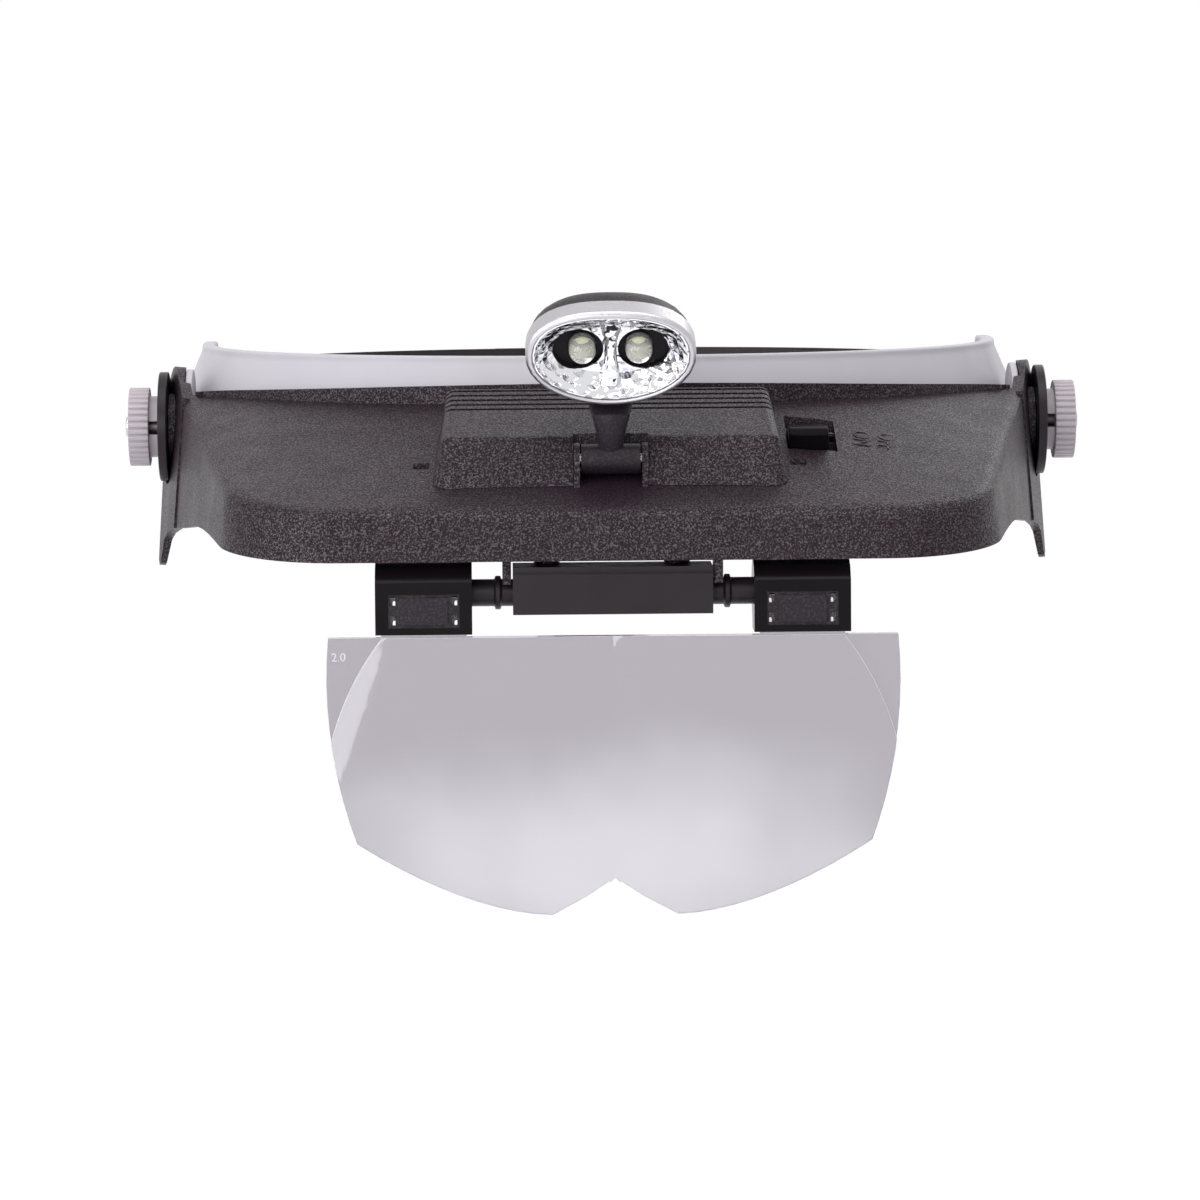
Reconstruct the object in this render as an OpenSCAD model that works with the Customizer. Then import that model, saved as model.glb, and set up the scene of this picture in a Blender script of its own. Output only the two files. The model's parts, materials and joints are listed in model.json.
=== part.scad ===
// Headband magnifier: a head ring, a tilting hood with a battery lamp, and a
// flip-down lens plate. The origin is the centre of the head ring at the height
// of the side knobs. +X is the wearer's left, -Y is forward, +Z is up.

/* [Head ring] */
// Half of the width across the outside of the brow band
ring_half_w = 85.6; // [82:0.1:92]
// Half of the length from the forehead to the nape, outside
ring_half_l = 97; // [94:0.5:102]
// Squareness of the ring in plan, where 2 is an ellipse
ring_power = 2.3; // [2.2:0.05:2.4]
// Height of the brow band
band_h = 30.5; // [28:0.5:34]
// Wall of the brow band
band_t = 2; // [1.5:0.1:2.6]
// How far the top of the brow band leans towards the head
band_lean = 4.4; // [2:0.1:4.8]
// Angle from the forehead to each end of the brow band
band_wrap = 106; // [100:1:112]
// Height of the rear straps
strap_h = 20; // [16:0.5:24]
// Thickness of the rear straps
strap_t = 1.4; // [1:0.1:2]
// Angle from the forehead at which a rear strap begins
strap_start = 94; // [90:1:97]
// Thickness of the forehead cushion at its crown
pad_t = 7; // [4:0.5:9]
// Height of the forehead cushion
pad_h = 25; // [18:0.5:28]
// Angle from the centre to each end of the forehead cushion
pad_wrap = 48; // [35:1:52]

/* [Size adjuster] */
// Width of the adjuster housing at the nape
housing_w = 28; // [26:0.5:32]
// Height of the adjuster housing above and below the straps
housing_margin = 4; // [3.8:0.1:6]
// Diameter of the adjuster knob
adjuster_d = 23; // [20:0.5:26]
// Depth of the adjuster knob
adjuster_t = 8; // [6:0.5:12]

/* [Side pivots] */
// Distance of the knob axis in front of the ring's centre
pivot_ahead = 45; // [40:0.5:50]
// Gap between the side of the head ring and an ear of the hood, at the knob axis
ear_gap = 4.1; // [3.8:0.1:6]
// Diameter of the pivot bolts
bolt_d = 4; // [3:0.5:5]
// Diameter of the side knobs
knob_d = 15.6; // [14:0.2:18]
// Thickness of a side knob's rim
knob_t = 4; // [3:0.5:6]
// Diameter of the slotted hub behind a side knob
hub_d = 12.2; // [11:0.2:13]
// Length of that hub
hub_t = 1.9; // [1.5:0.1:3]
// Diameter of the friction discs
disc_d = 21.8; // [19:0.2:23]
// Thickness of the friction discs
disc_t = 1.8; // [1.2:0.1:2.5]

/* [Hood] */
// Distance of the hood's front edge in front of the head ring
hood_reach = 48; // [44:0.5:54]
// Thickness of an ear at its boss
ear_t = 3.4; // [2.8:0.1:4.5]
// Radius of the hood's front corners in plan
corner_r = 22; // [18:0.5:28]
// Angle by which the hood's sides spread towards the ears
side_flare = 9.5; // [8:0.25:10.5]
// Height of the roof's rear edge above the knob axis
roof_rear = 7; // [6:0.25:8]
// Depth of the roof's front edge below the knob axis
roof_front = 11.2; // [9:0.2:13]
// Height of the front wall
front_h = 9; // [7:0.25:11]
// Height of the raised lip along the roof's rear edge
lip_h = 3.3; // [2:0.1:4]
// Wall of the hood
hood_wall = 2.2; // [1.8:0.1:2.8]
// Radius of the roof's rounded edge
roof_fillet = 3; // [1.5:0.25:4]
// Draft angle of the hood's walls
draft = 4; // [2:0.5:5]
// How far the wing tips hang below the knob axis
wing_drop = 28; // [24:0.5:32]

/* [Battery box] */
// Half of the width of the battery cover at its rear top edge
cover_half_w = 30.6; // [30:0.1:33]
// Gap between the head ring and the battery cover
cover_gap = 7.6; // [7.4:0.1:9]
// Length of the cover's top from its rear edge to its front edge
cover_len = 26.9; // [26:0.1:29]
// Height of the cover's rear top edge
cover_rear_z = 9.6; // [9:0.1:11]
// Height of the cover's front top edge
cover_front_z = 2; // [1.6:0.1:3]
// Wall of the battery cover
cover_wall = 1.4; // [1:0.1:1.8]
// Diameter of a battery cell
cell_d = 10.4; // [10:0.1:10.5]
// Length of a battery cell with its nub
cell_l = 44.5; // [43:0.5:45]
// Number of thumb grooves across the cover
groove_n = 5; // [3:1:6]

/* [Lamp] */
// Distance of the lamp hinge in front of the cover's front top edge
hinge_gap = 1; // [0.6:0.1:2]
// Depth of the lamp hinge below the knob axis
hinge_drop = 2.3; // [1.8:0.1:2.6]
// Diameter of the hinge barrel
barrel_d = 5.6; // [5:0.1:6]
// Length of the hinge barrel
barrel_l = 10.9; // [10:0.1:11.8]
// Diameter of the hinge pin
pin_d = 2; // [1.6:0.1:2.4]
// Half of the width of the lamp head
lamp_half_w = 15.65; // [14:0.05:17]
// Half of the height of the lamp head
lamp_half_h = 9.7; // [9:0.1:10.4]
// Depth of the lamp's bright rim
bezel_depth = 5; // [4:0.1:6]
// Depth of the whole lamp head
lamp_depth = 15; // [14:0.25:17]
// Distance of the lamp's face in front of its hinge
lamp_reach = 9.5; // [8:0.5:11]
// Height of the middle of the lamp's face above its hinge
lamp_rise = 18.6; // [18:0.1:21]
// Angle by which the lamp looks down
lamp_pitch = 26; // [15:1:35]
// Diameter of the lamp's two diodes
led_d = 5; // [3:0.5:5]
// Distance between the diodes' centres
led_gap = 10.4; // [9:0.1:12]

/* [Lens holder] */
// Distance of the lens rod behind the hood's front edge
rod_back = 5.5; // [5:0.1:6]
// Depth of the lens rod below the hood's front wall
rod_below = 6.1; // [5.9:0.1:6.8]
// Diameter of the lens rod
rod_d = 5; // [4:0.1:5.4]
// Width of the rod's bearing block
block_w = 36.6; // [32:0.2:38]
// Width of each lens clip
clip_w = 17.7; // [15:0.1:19]
// Distance from the middle to the inner end of each clip
clip_in = 25.8; // [25:0.1:28]

/* [Lens plate] */
// Half of the width of the lens plate
lens_half_w = 52.6; // [48:0.2:56]
// Thickness of the lens plate's flat rim
lens_t = 1.8; // [1.4:0.1:1.8]
// Depth of the lens plate's top edge below the lens rod
lens_hang = 7.7; // [7.6:0.1:9.5]
// Height of the lens plate below that edge
lens_h = 51.3; // [46:0.5:56]
// Height of the notch for the nose
nose_h = 6.8; // [4:0.2:12]
// Radius of the curved face of each lens
lens_curve = 320; // [280:10:600]

/* [Hidden] */

// Clearances: round running fits, flat sliding faces, and parts that only sit together
run_gap = 0.05;
slide_gap = 0.15;
seat_gap = 0.1;
loose_gap = 0.3;
// Overshoot of a cutting shape past the faces that it opens
over = 1;
// Size of a cutting shape that takes away a whole half
far = 200;

// Fineness of round shapes and of the swept ones
round_fn = 48;
hull_fn = 32;
ring_steps = 44;

// Places of the main groups, as distances in front of the ring's centre and below the knob axis
hood_front = ring_half_l + hood_reach;
hood_low = roof_front + front_h;
cover_rear = ring_half_l + cover_gap;
cover_front = cover_rear + cover_len;
hinge_ahead = cover_front + hinge_gap;
lamp_ahead = hinge_ahead + lamp_reach;
lamp_up = lamp_rise - hinge_drop;
rod_ahead = hood_front - rod_back;
rod_drop = hood_low + rod_below;
lens_top = rod_drop + lens_hang;

black = "#2b2829";
gloss_black = "#1c1b1c";
pale_grey = "#c3c1c9";
knob_grey = "#bcb6bb";
steel = "#b8b9bd";
silver = "#c9c7c6";

// Radius of a squared oval in the direction a, whose half axes are w and l
function oval_r(a, w, l, power) =
    pow(pow(abs(sin(a)) / w, power) + pow(abs(cos(a)) / l, power), -1 / power);

// Point of the head ring at the angle a from the forehead, a distance inset inside it
function ring_point(a, inset) =
    let (r = oval_r(a, ring_half_w - inset, ring_half_l - inset, ring_power))
    [r * sin(a), -r * cos(a)];

// Direction in plan that is square to the ring's outside at its point q
function ring_turn(q) =
    atan2(sign(q[1]) * pow(abs(q[1]), ring_power - 1) / pow(ring_half_l, ring_power),
        sign(q[0]) * pow(abs(q[0]), ring_power - 1) / pow(ring_half_w, ring_power));

// Distance in front of the ring's centre of the ring's outside at the width x
function ring_ahead(x) =
    ring_half_l * pow(max(1 - pow(abs(x) / ring_half_w, ring_power), 0), 1 / ring_power);

// Half width of the ring's outside at the distance y from its centre
function ring_side(y) =
    ring_half_w * pow(1 - pow(abs(y) / ring_half_l, ring_power), 1 / ring_power);

// Solid through a row of sections with as many points each. The sections run
// round anticlockwise, seen from the last one, and point k faces the k-th from the end.
module loft(rows) {
    m = len(rows[0]);
    n = len(rows);
    sides = [for (i = [0 : n - 2], j = [0 : m - 1])
        let (a = i * m + j, b = i * m + (j + 1) % m, c = b + m, d = a + m)
        each [[a, d, c], [a, c, b]]];
    start = [for (k = [0 : m / 2 - 2])
        let (a = k, b = k + 1, c = m - 2 - k, d = m - 1 - k)
        each [[a, b, c], [a, c, d]]];
    last = (n - 1) * m;
    end = [for (f = start) [f[2] + last, f[1] + last, f[0] + last]];
    polyhedron([for (row = rows) each row], concat(start, sides, end));
}

// Solid that follows the head ring, whose section is a function of the share
// of the way along. A section is a list of [inset, height].
module ring_sweep(from, to, steps, section) {
    loft([for (i = [0 : steps])
        let (s = i / steps, a = from + (to - from) * s)
        [for (p = section(s)) let (q = ring_point(a, p[0])) [q[0], q[1], p[1]]]]);
}

// Filled shape of the ring's plan, a distance inset inside its outside
module ring_plan(inset) {
    polygon([for (a = [0 : 4 : 356]) ring_point(a, inset)]);
}

// Cylinder along X from x0 to x1, centred on y and z
module x_rod(x0, x1, r, y = 0, z = 0) {
    translate([x0, y, z]) rotate([0, 90, 0]) cylinder(r = r, h = x1 - x0, $fn = round_fn);
}

// Block given by its low and high corners
module block(low, high) {
    translate(low) cube(high - low);
}

// The piece and its mirror image across the middle
module both_sides() {
    children();
    mirror([1, 0, 0]) children();
}

// Head ring

// Height of the brow band's half, and where its lean and its lip begin
band_hi = band_h / 2;
band_bend = band_h / 6;
band_lip_h = 1.2;
band_lip_out = 0.6;

// How much the band narrows at the share s along it: nothing until its two ends
band_end = 0.87;
band_end_h = 7.5;
function band_narrow(s) =
    (band_hi - band_end_h) * pow(max(abs(2 * s - 1) - band_end, 0) / (1 - band_end), 2);

// Section of the brow band: upright below, leaning above, with a lip at the top
function band_section(s) =
    let (top = band_hi - band_narrow(s), low = band_narrow(s) - band_hi,
        lean = band_lean * (top - band_bend) / (band_hi - band_bend), lip = lean - band_lip_out)
    [[band_t, low], [band_t, band_bend], [band_t + lean, top - band_lip_h], [band_t + lean, top],
    [lip, top], [lip, top - band_lip_h], [0, band_bend], [0, low]];

module brow_band() {
    color(pale_grey) difference() {
        ring_sweep(-band_wrap, band_wrap, ring_steps, function (s) band_section(s));
        x_rod(-far, far, bolt_d / 2 + slide_gap, -pivot_ahead);
        rivet_holes();
    }
}

// Forehead cushion: flat on the band, crowned towards the head, thinner at its ends
pad_seat = band_t + loose_gap;
pad_edge = 1.6;
pad_points = 6;

// Fullness of the cushion at the share s along it, from 0 at an end to 1 in the middle
function pad_fullness(s) = pow(sin(180 * min(max(s, 0.02), 0.98)), 0.4);

function pad_section(s) =
    let (full = pad_fullness(s), half = pad_h / 2 * (0.8 + 0.2 * full))
    concat(
        [for (k = [0 : pad_points - 1]) let (a = 180 * k / (pad_points - 1))
            [pad_seat + pad_edge + pad_lean(-half * cos(a)) + (pad_t - pad_edge) * full * pow(sin(a), 0.6),
             -half * cos(a)]],
        [for (k = [pad_points - 1 : -1 : 0]) let (a = 180 * k / (pad_points - 1))
            [pad_seat + pad_lean(-half * cos(a)) + (k == 0 || k == pad_points - 1 ? pad_edge / 3 : 0),
             -half * cos(a)]]);

// Inward lean of the band at the height z, which the cushion's back follows
function pad_lean(z) = band_lean * max(z - band_bend, 0) / (band_hi - band_lip_h - band_bend);

module forehead_pad() {
    color("#77757c") ring_sweep(-pad_wrap, pad_wrap, ring_steps / 2, function (s) pad_section(s));
}

// Rear straps, one outside the other at the nape, each with a toothed slot
strap_inset = band_t + seat_gap;
strap_step = strap_t + loose_gap;
strap_end = 13;
tooth_pitch = 2;
pinion_teeth = 12;
pinion_r = pinion_teeth * tooth_pitch / (2 * PI);
tooth_add = 0.35;
tooth_ded = 0.6;
tooth_root_w = 1.05;
tooth_tip_w = 0.5;
slot_half = 14;
strap_ease = 8;
strap_front_h = 9.8;

// Section of a strap at the share f of the way from its front end, shifted inward by step
function strap_section(f, step) =
    let (joint = (band_wrap - strap_start) / (180 + strap_end - strap_start),
        up = min(strap_h, strap_front_h + strap_h * strap_ease * max(f - joint, 0)) / 2,
        inner = strap_inset + step * min(1, 2 * max(f - joint, 0)))
    [[inner + strap_t, -up], [inner + strap_t, up], [inner, up], [inner, -up]];

// Outline of the slot: its far edge carries a tooth at each half pitch from the middle
module rack_slot(side) {
    root = pinion_r + tooth_ded;
    tip = pinion_r - tooth_add + run_gap;
    pairs = floor((slot_half - tooth_root_w) / tooth_pitch - 0.5);
    translate([0, ring_half_l, 0]) rotate([90, 0, 0]) linear_extrude(height = 4 * strap_step + band_t)
        mirror([0, side > 0 ? 0 : 1]) polygon(concat(
            [[-slot_half, -root], [slot_half, -root], [slot_half, root]],
            [for (i = [pairs : -1 : -pairs - 1]) let (x = (i + 0.5) * tooth_pitch)
                each [[x + tooth_root_w / 2, root], [x + tooth_tip_w / 2, tip],
                    [x - tooth_tip_w / 2, tip], [x - tooth_root_w / 2, root]]],
            [[-slot_half, root]]));
}

// Children at each rivet, with X pointing out of the ring
rivet_angle = 99;
rivet_z = 2.4;
rivet_d = 2.2;

module at_rivets() {
    for (side = [-1, 1], z = [-rivet_z, rivet_z])
        let (q = ring_point(side * rivet_angle, 0))
        translate([q[0], q[1], z]) rotate([0, 0, ring_turn(q)]) children();
}

module rivet_holes() {
    at_rivets() x_rod(-band_t - 2 * strap_step, over, rivet_d / 2 + seat_gap);
}

module strap_left() {
    color(black) difference() {
        ring_sweep(strap_start, 180 + strap_end, ring_steps / 2, function (s) strap_section(s, 0));
        rack_slot(1);
        rivet_holes();
    }
}

module strap_right() {
    color(black) difference() {
        ring_sweep(180 - strap_end, 360 - strap_start, ring_steps / 2,
            function (s) strap_section(1 - s, strap_step));
        rack_slot(-1);
        rivet_holes();
    }
}

module strap_rivets() {
    head = 0.7;
    color(pale_grey) at_rivets() {
        x_rod(-strap_inset - strap_t - seat_gap, seat_gap, rivet_d / 2);
        x_rod(seat_gap, seat_gap + head, rivet_d);
        x_rod(-strap_inset - strap_t - seat_gap - head, -strap_inset - strap_t - seat_gap, rivet_d);
    }
}

// Size adjuster at the nape: the straps pass between the housing and its cover
passage_out = ring_half_l - strap_inset + loose_gap;
passage_in = passage_out - 2 * strap_step - 2 * loose_gap - 0.5;
housing_out = passage_out + 8.2;
housing_r = 6;
housing_h = strap_h + 2 * housing_margin;
cover_plate_t = 2;
shaft_r = 3;
adjuster_screw_x = housing_w / 2 - 3.6;
adjuster_screw_z = (strap_h + housing_margin) / 2 + loose_gap;
adjuster_screw_r = 0.9;

// Plate with rounded corners in the XZ plane, from y0 to y1
module rounded_xz(w, h, r, y0, y1) {
    translate([0, y1, 0]) rotate([90, 0, 0]) linear_extrude(height = y1 - y0) {
        square([w - 2 * r, h], center = true);
        square([w, h - 2 * r], center = true);
        for (x = [-1, 1], y = [-1, 1])
            translate([x * (w / 2 - r), y * (h / 2 - r)]) circle(r = r, $fn = round_fn);
    }
}

// Cylinder along Y from y0 to y1
module y_rod(y0, y1, r, x = 0, z = 0) {
    translate([x, y1, z]) rotate([90, 0, 0]) cylinder(r = r, h = y1 - y0, $fn = round_fn);
}

module at_adjuster_screws() {
    for (x = [-1, 1], z = [-1, 1])
        translate([x * adjuster_screw_x, 0, z * adjuster_screw_z]) children();
}

module adjuster_housing() {
    color(black) difference() {
        rounded_xz(housing_w, housing_h, housing_r, passage_in, housing_out);
        block([-housing_w, passage_in - over, -strap_h / 2 - loose_gap],
            [housing_w, passage_out, strap_h / 2 + loose_gap]);
        y_rod(passage_out - over, passage_out + 2.5, pinion_r + tooth_add + loose_gap);
        y_rod(passage_out, housing_out + over, shaft_r + run_gap);
        at_adjuster_screws() y_rod(passage_in - over, passage_out + 3, adjuster_screw_r + run_gap);
    }
}

module adjuster_cover() {
    color(black) difference() {
        rounded_xz(housing_w, housing_h, housing_r, passage_in - cover_plate_t, passage_in);
        at_adjuster_screws() y_rod(-far, far, adjuster_screw_r + run_gap);
        at_adjuster_screws() y_rod(-far, passage_in - cover_plate_t / 2, 2 * adjuster_screw_r + seat_gap);
    }
}

module adjuster_screws() {
    color(steel) at_adjuster_screws() {
        y_rod(passage_in - cover_plate_t / 2, passage_out + 2.8, adjuster_screw_r);
        y_rod(passage_in - cover_plate_t, passage_in - cover_plate_t / 2, 2 * adjuster_screw_r);
    }
}

// Knob outline with shallow finger flutes
module fluted(r, flutes, depth) {
    polygon([for (i = [0 : 4 * flutes - 1]) let (a = 90 * i / flutes)
        (r - depth * (i % 4 == 0 ? 1 : 0)) * [cos(a), sin(a)]]);
}

adjuster_flutes = 18;

module adjuster_knob() {
    knob_in = housing_out + loose_gap;
    color(black) {
        translate([0, knob_in + adjuster_t, 0]) rotate([90, 0, 0])
            linear_extrude(height = adjuster_t) fluted(adjuster_d / 2, adjuster_flutes, 0.8);
        y_rod(passage_out + loose_gap, knob_in + seat_gap, shaft_r);
    }
}

module adjuster_pinion() {
    color("#d8d4cc") translate([0, passage_out + loose_gap, 0]) rotate([90, 0, 0])
        linear_extrude(height = passage_out - passage_in) {
            circle(r = pinion_r - tooth_ded + run_gap, $fn = round_fn);
            for (i = [0 : pinion_teeth - 1]) rotate([0, 0, 360 * i / pinion_teeth])
                polygon([[-tooth_root_w / 2, 0], [tooth_root_w / 2, 0],
                    [tooth_tip_w / 2, pinion_r + tooth_add], [-tooth_tip_w / 2, pinion_r + tooth_add]]);
        }
}

// Side pivots. Places along X from the ear outwards.
ear_in = ring_side(pivot_ahead) + ear_gap;
ear_out = ear_in + ear_t;
disc_x = ear_out + slide_gap;
hub_x = disc_x + disc_t + seat_gap;
rim_x = hub_x + hub_t;
knob_out = rim_x + knob_t;
bolt_out = knob_out + 0.8;
bolt_r = bolt_d / 2;
bolt_head_r = bolt_d;
bolt_head_t = 2.2;
saddle_r = bolt_head_r + 1;
saddle_in = ring_side(pivot_ahead + saddle_r) - band_t - 1.2;
pivot_pad_r = 11.4;
pivot_pad_t = 1.3;
pivot_hub_r = 6;
insert_r = bolt_r + 1;
hub_slot = 2.6;
knurl_n = 36;
knurl_depth = 0.45;

// Children moved to the knob axis
module at_pivot() {
    translate([0, -pivot_ahead, 0]) children();
}

module pivot_pads() {
    color(pale_grey) both_sides() difference() {
        at_pivot() {
            x_rod(ear_in - slide_gap - pivot_pad_t, ear_in - slide_gap, pivot_pad_r);
            x_rod(ring_side(pivot_ahead + pivot_hub_r) - band_t, ear_in - slide_gap, pivot_hub_r);
        }
        translate([0, 0, -far / 2]) linear_extrude(height = far) ring_plan(-seat_gap);
        at_pivot() x_rod(0, far, bolt_r + seat_gap);
    }
}

module saddle_washers() {
    color(black) both_sides() difference() {
        intersection() {
            at_pivot() x_rod(saddle_in, ring_half_w, saddle_r);
            translate([0, 0, -far / 2]) linear_extrude(height = far) ring_plan(band_t + seat_gap);
        }
        at_pivot() x_rod(0, far, bolt_r + seat_gap);
    }
}

module pivot_bolts() {
    color(steel) both_sides() at_pivot() {
        x_rod(saddle_in - seat_gap, bolt_out, bolt_r);
        x_rod(saddle_in - seat_gap - bolt_head_t, saddle_in - seat_gap, bolt_head_r);
    }
}

module friction_discs() {
    color(black) both_sides() at_pivot() difference() {
        x_rod(disc_x, disc_x + disc_t, disc_d / 2);
        x_rod(0, far, bolt_r + run_gap);
    }
}

// Side knob: a knurled rim and a slotted hub round a metal insert
module knob() {
    color(knob_grey) at_pivot() difference() {
        union() {
            x_rod(hub_x, rim_x, hub_d / 2);
            translate([rim_x, 0, 0]) rotate([90, 0, 90]) linear_extrude(height = knob_t)
                fluted(knob_d / 2, knurl_n, knurl_depth);
        }
        x_rod(0, far, insert_r + run_gap);
        block([hub_x - over, -hub_d, -hub_slot / 2], [rim_x, hub_d, hub_slot / 2]);
    }
}

module knob_insert() {
    color("#c8a85a") at_pivot() difference() {
        x_rod(hub_x, knob_out, insert_r);
        x_rod(0, far, bolt_r + run_gap);
    }
}

module knob_left() {
    knob();
}

module knob_insert_left() {
    knob_insert();
}

module knob_right() {
    mirror([1, 0, 0]) knob();
}

module knob_insert_right() {
    mirror([1, 0, 0]) knob_insert();
}

// Hood. Its edge in plan runs straight across the front, round a corner and back
// along a spreading side; its rear edge clears the brow band while the hood tilts.
swing_gap = 0.5;
wall_x = ear_in + 2.6;
corner_y = corner_r - hood_front;
corner_x = wall_x - corner_r * cos(side_flare)
    - (corner_r * sin(side_flare) - corner_y - pivot_ahead) * tan(side_flare);
side_back = pivot_ahead + band_hi - swing_gap;
front_steps = 9;
corner_steps = 14;
side_steps = 8;
roof_fan = 0.935;
lip_t = 1.6;
lip_end = 0.2;
side_rise = 3.6;
rise_l = 50;
side_fall = 0.08;

// Distance of the roof's rear edge in front of the ring's centre at the width x
function hood_rear(x) =
    pivot_ahead + sqrt(pow(max(ring_ahead(x) + swing_gap - pivot_ahead, 0), 2)
        + pow(band_hi + swing_gap, 2) - pow(roof_rear - hood_wall, 2));

// Height of the roof at x and y: it falls evenly from its rear edge to its front edge
function roof_z(x, y) =
    roof_rear - (roof_rear + roof_front) * max(-y - hood_rear(x), 0) / (hood_front - hood_rear(x));

// Height of the hood's lower edge at the distance y: it rises round the corner,
// then falls along the side
function low_edge(y) =
    side_rise * sin(90 * min((hood_front + y) / rise_l, 1))
        - side_fall * max(hood_front + y - rise_l, 0) - hood_low;

// Half of the edge in plan: [x, y, outward x, outward y, fan share]
side_x = corner_x + corner_r * cos(side_flare);
side_y = corner_y - corner_r * sin(side_flare);
edge_half = concat(
    [for (i = [0 : front_steps - 1]) [corner_x * i / front_steps, -hood_front, 0, -1, roof_fan]],
    [for (i = [0 : corner_steps]) let (a = -90 + (90 - side_flare) * i / corner_steps)
        [corner_x + corner_r * cos(a), corner_y + corner_r * sin(a), cos(a), sin(a), roof_fan]],
    [for (i = [1 : side_steps]) let (s = i / side_steps, y = side_y - (side_y + side_back) * s)
        [side_x + (y - side_y) * tan(side_flare), y, cos(side_flare), -sin(side_flare),
            roof_fan + (1 - roof_fan) * s / 2]]);
edge = concat(
    [for (i = [len(edge_half) - 1 : -1 : 1]) let (e = edge_half[i]) [-e[0], e[1], -e[2], e[3], e[4]]],
    edge_half);

// Point of the edge e moved inwards by the distance d, at the height z
function edge_point(e, d, z) = [e[0] - e[2] * d, e[1] - e[3] * d, z];

// Rear point of the roof that belongs to the edge e
function rear_point(e) = let (x = e[0] * e[4]) [x, -hood_rear(x)];

// Height of the raised lip at the width x
function lip_at(x) = lip_end + (lip_h - lip_end) * (1 - pow(min(abs(x) / wall_x, 1), 2));

// Section of the hood at the edge e: lip, roof, rounded edge, wall
function hood_section(e) =
    let (r = rear_point(e), c = edge_point(e, roof_fillet, 0), d = [c[0], c[1]] - r,
        f = r + d / norm(d) * lip_t,
        z_in = roof_z(c[0], c[1]), z_edge = roof_z(e[0], e[1]), low = low_edge(e[1]),
        out = tan(draft) * (z_edge - low), top = roof_rear + lip_at(r[0]),
        turn = [for (i = [0 : 3]) let (t = i / 3) edge_point(e, roof_fillet * pow(1 - t, 2),
            z_in * pow(1 - t, 2) + z_edge * 2 * t * (1 - t) + (z_edge - roof_fillet) * pow(t, 2))])
    [edge_point(e, hood_wall - out, low), edge_point(e, hood_wall, z_edge - roof_fillet - hood_wall),
        edge_point(e, hood_wall + 0.2, z_edge - hood_wall - 1),
        edge_point(e, hood_wall + 0.9, z_edge - hood_wall - 0.1),
        edge_point(e, roof_fillet + 0.5, roof_z(c[0], c[1]) - hood_wall),
        [r[0], r[1], roof_rear - hood_wall], [r[0], r[1], top],
        [f[0], f[1], top], [f[0], f[1], roof_z(f[0], f[1])],
        turn[0], turn[1], turn[2], turn[3], edge_point(e, -out, low)];

// Block below the roof's upper face, from which what stands on the roof is cut
module under_roof() {
    loft([for (e = edge)
        let (r = rear_point(e), c = edge_point(e, 0, roof_z(e[0], e[1])))
        [[c[0], c[1], -far], [r[0], r[1], -far], [r[0], r[1], roof_rear], c]]);
}

// Ear and wing in the plane of the side wall, with the pivot at the origin
ear_r = 12;
wing_w = 3;
wing_lean = 4.9;
wing_thin_z = 14;
wing_thin = 4;
ear_front = side_back - pivot_ahead + 2.5;

module ear_outline() {
    low = low_edge(-pivot_ahead - ear_front);
    circle(r = ear_r, $fn = round_fn);
    polygon([[-ear_front, roof_rear - 0.6], [-ear_r / 2, ear_r * 0.86], [ear_r * 0.9, 0],
        [wing_w + 2, -wing_drop + 1], [wing_w, -wing_drop], [wing_w - 1.6, -wing_drop + 0.6],
        [-2, -wing_drop + 5.5], [-7, low - 1.6], [-ear_front, low]]);
}

// Children in the plane of the side wall, at the height of the roof's rear edge
module on_side_wall() {
    translate([wall_x, -pivot_ahead, roof_rear]) rotate([0, -wing_lean, -side_flare])
        translate([0, 0, -roof_rear]) children();
}

// Tilted frame of the battery cells: the axis between the cells is its X axis
deck_tilt = atan((cover_rear_z - cover_front_z) / (cover_front - cover_rear));
cell_r = cell_d / 2;
cell_pitch = cell_d + loose_gap;
deck_ahead = cover_rear + cover_wall + 0.8 + cell_r + cell_pitch / 2 * cos(deck_tilt);
deck_z = cover_rear_z - (deck_ahead - cover_rear) * tan(deck_tilt)
    - (cell_r + loose_gap + cover_wall) / cos(deck_tilt);
tray_wall = 1.2;
tray_half_x = cell_l / 2 + 6.3;
tray_half_y = cell_pitch / 2 + cell_r + 2;
tray_floor = cell_r + loose_gap;
tray_rim = 3;
tray_ear_x = 22;
tray_ear_w = 7;
tray_ear_l = 4.6;
tray_screw_r = 1;
tray_tab_w = 10;
tray_tab_l = 1.8;
tray_tab_t = 1.2;
tray_step = -1.4;

module on_deck() {
    translate([0, -deck_ahead, deck_z]) rotate([deck_tilt, 0, 0]) children();
}

// Lamp hinge and its lugs
barrel_r = barrel_d / 2;
pin_r = pin_d / 2;
lug_in = barrel_l / 2 + loose_gap;
lug_t = 1.1;
lug_r = barrel_r + 0.2;

module at_hinge() {
    translate([0, -hinge_ahead, -hinge_drop]) children();
}

// Switch window and the slots beside the cover
window_x = cover_half_w + 2.8;
window_w = 9.4;
window_len = 15;
window_rear = cover_rear - 1.2;
window_front = window_rear + window_len;
slot_x = cover_half_w + 3;
slot_w = 3;
slot_front = cover_rear + 21;
slot_len = 2.6;

// Bearing block under the front, its bosses and the tabs beside it
block_half = block_w / 2;
block_front = rod_ahead + rod_back + loose_gap;
block_rear = rod_ahead - 6.3;
block_top = rod_drop - 5;
block_low = rod_drop + 3.7;
boss_x = 12;
boss_y = rod_ahead - 4.2;
boss_r = 2.4;
bearing_screw_r = 0.9;
tab_in = block_half + loose_gap;
tab_t = 1.6;
tab_low = rod_drop - 1.8;

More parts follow.
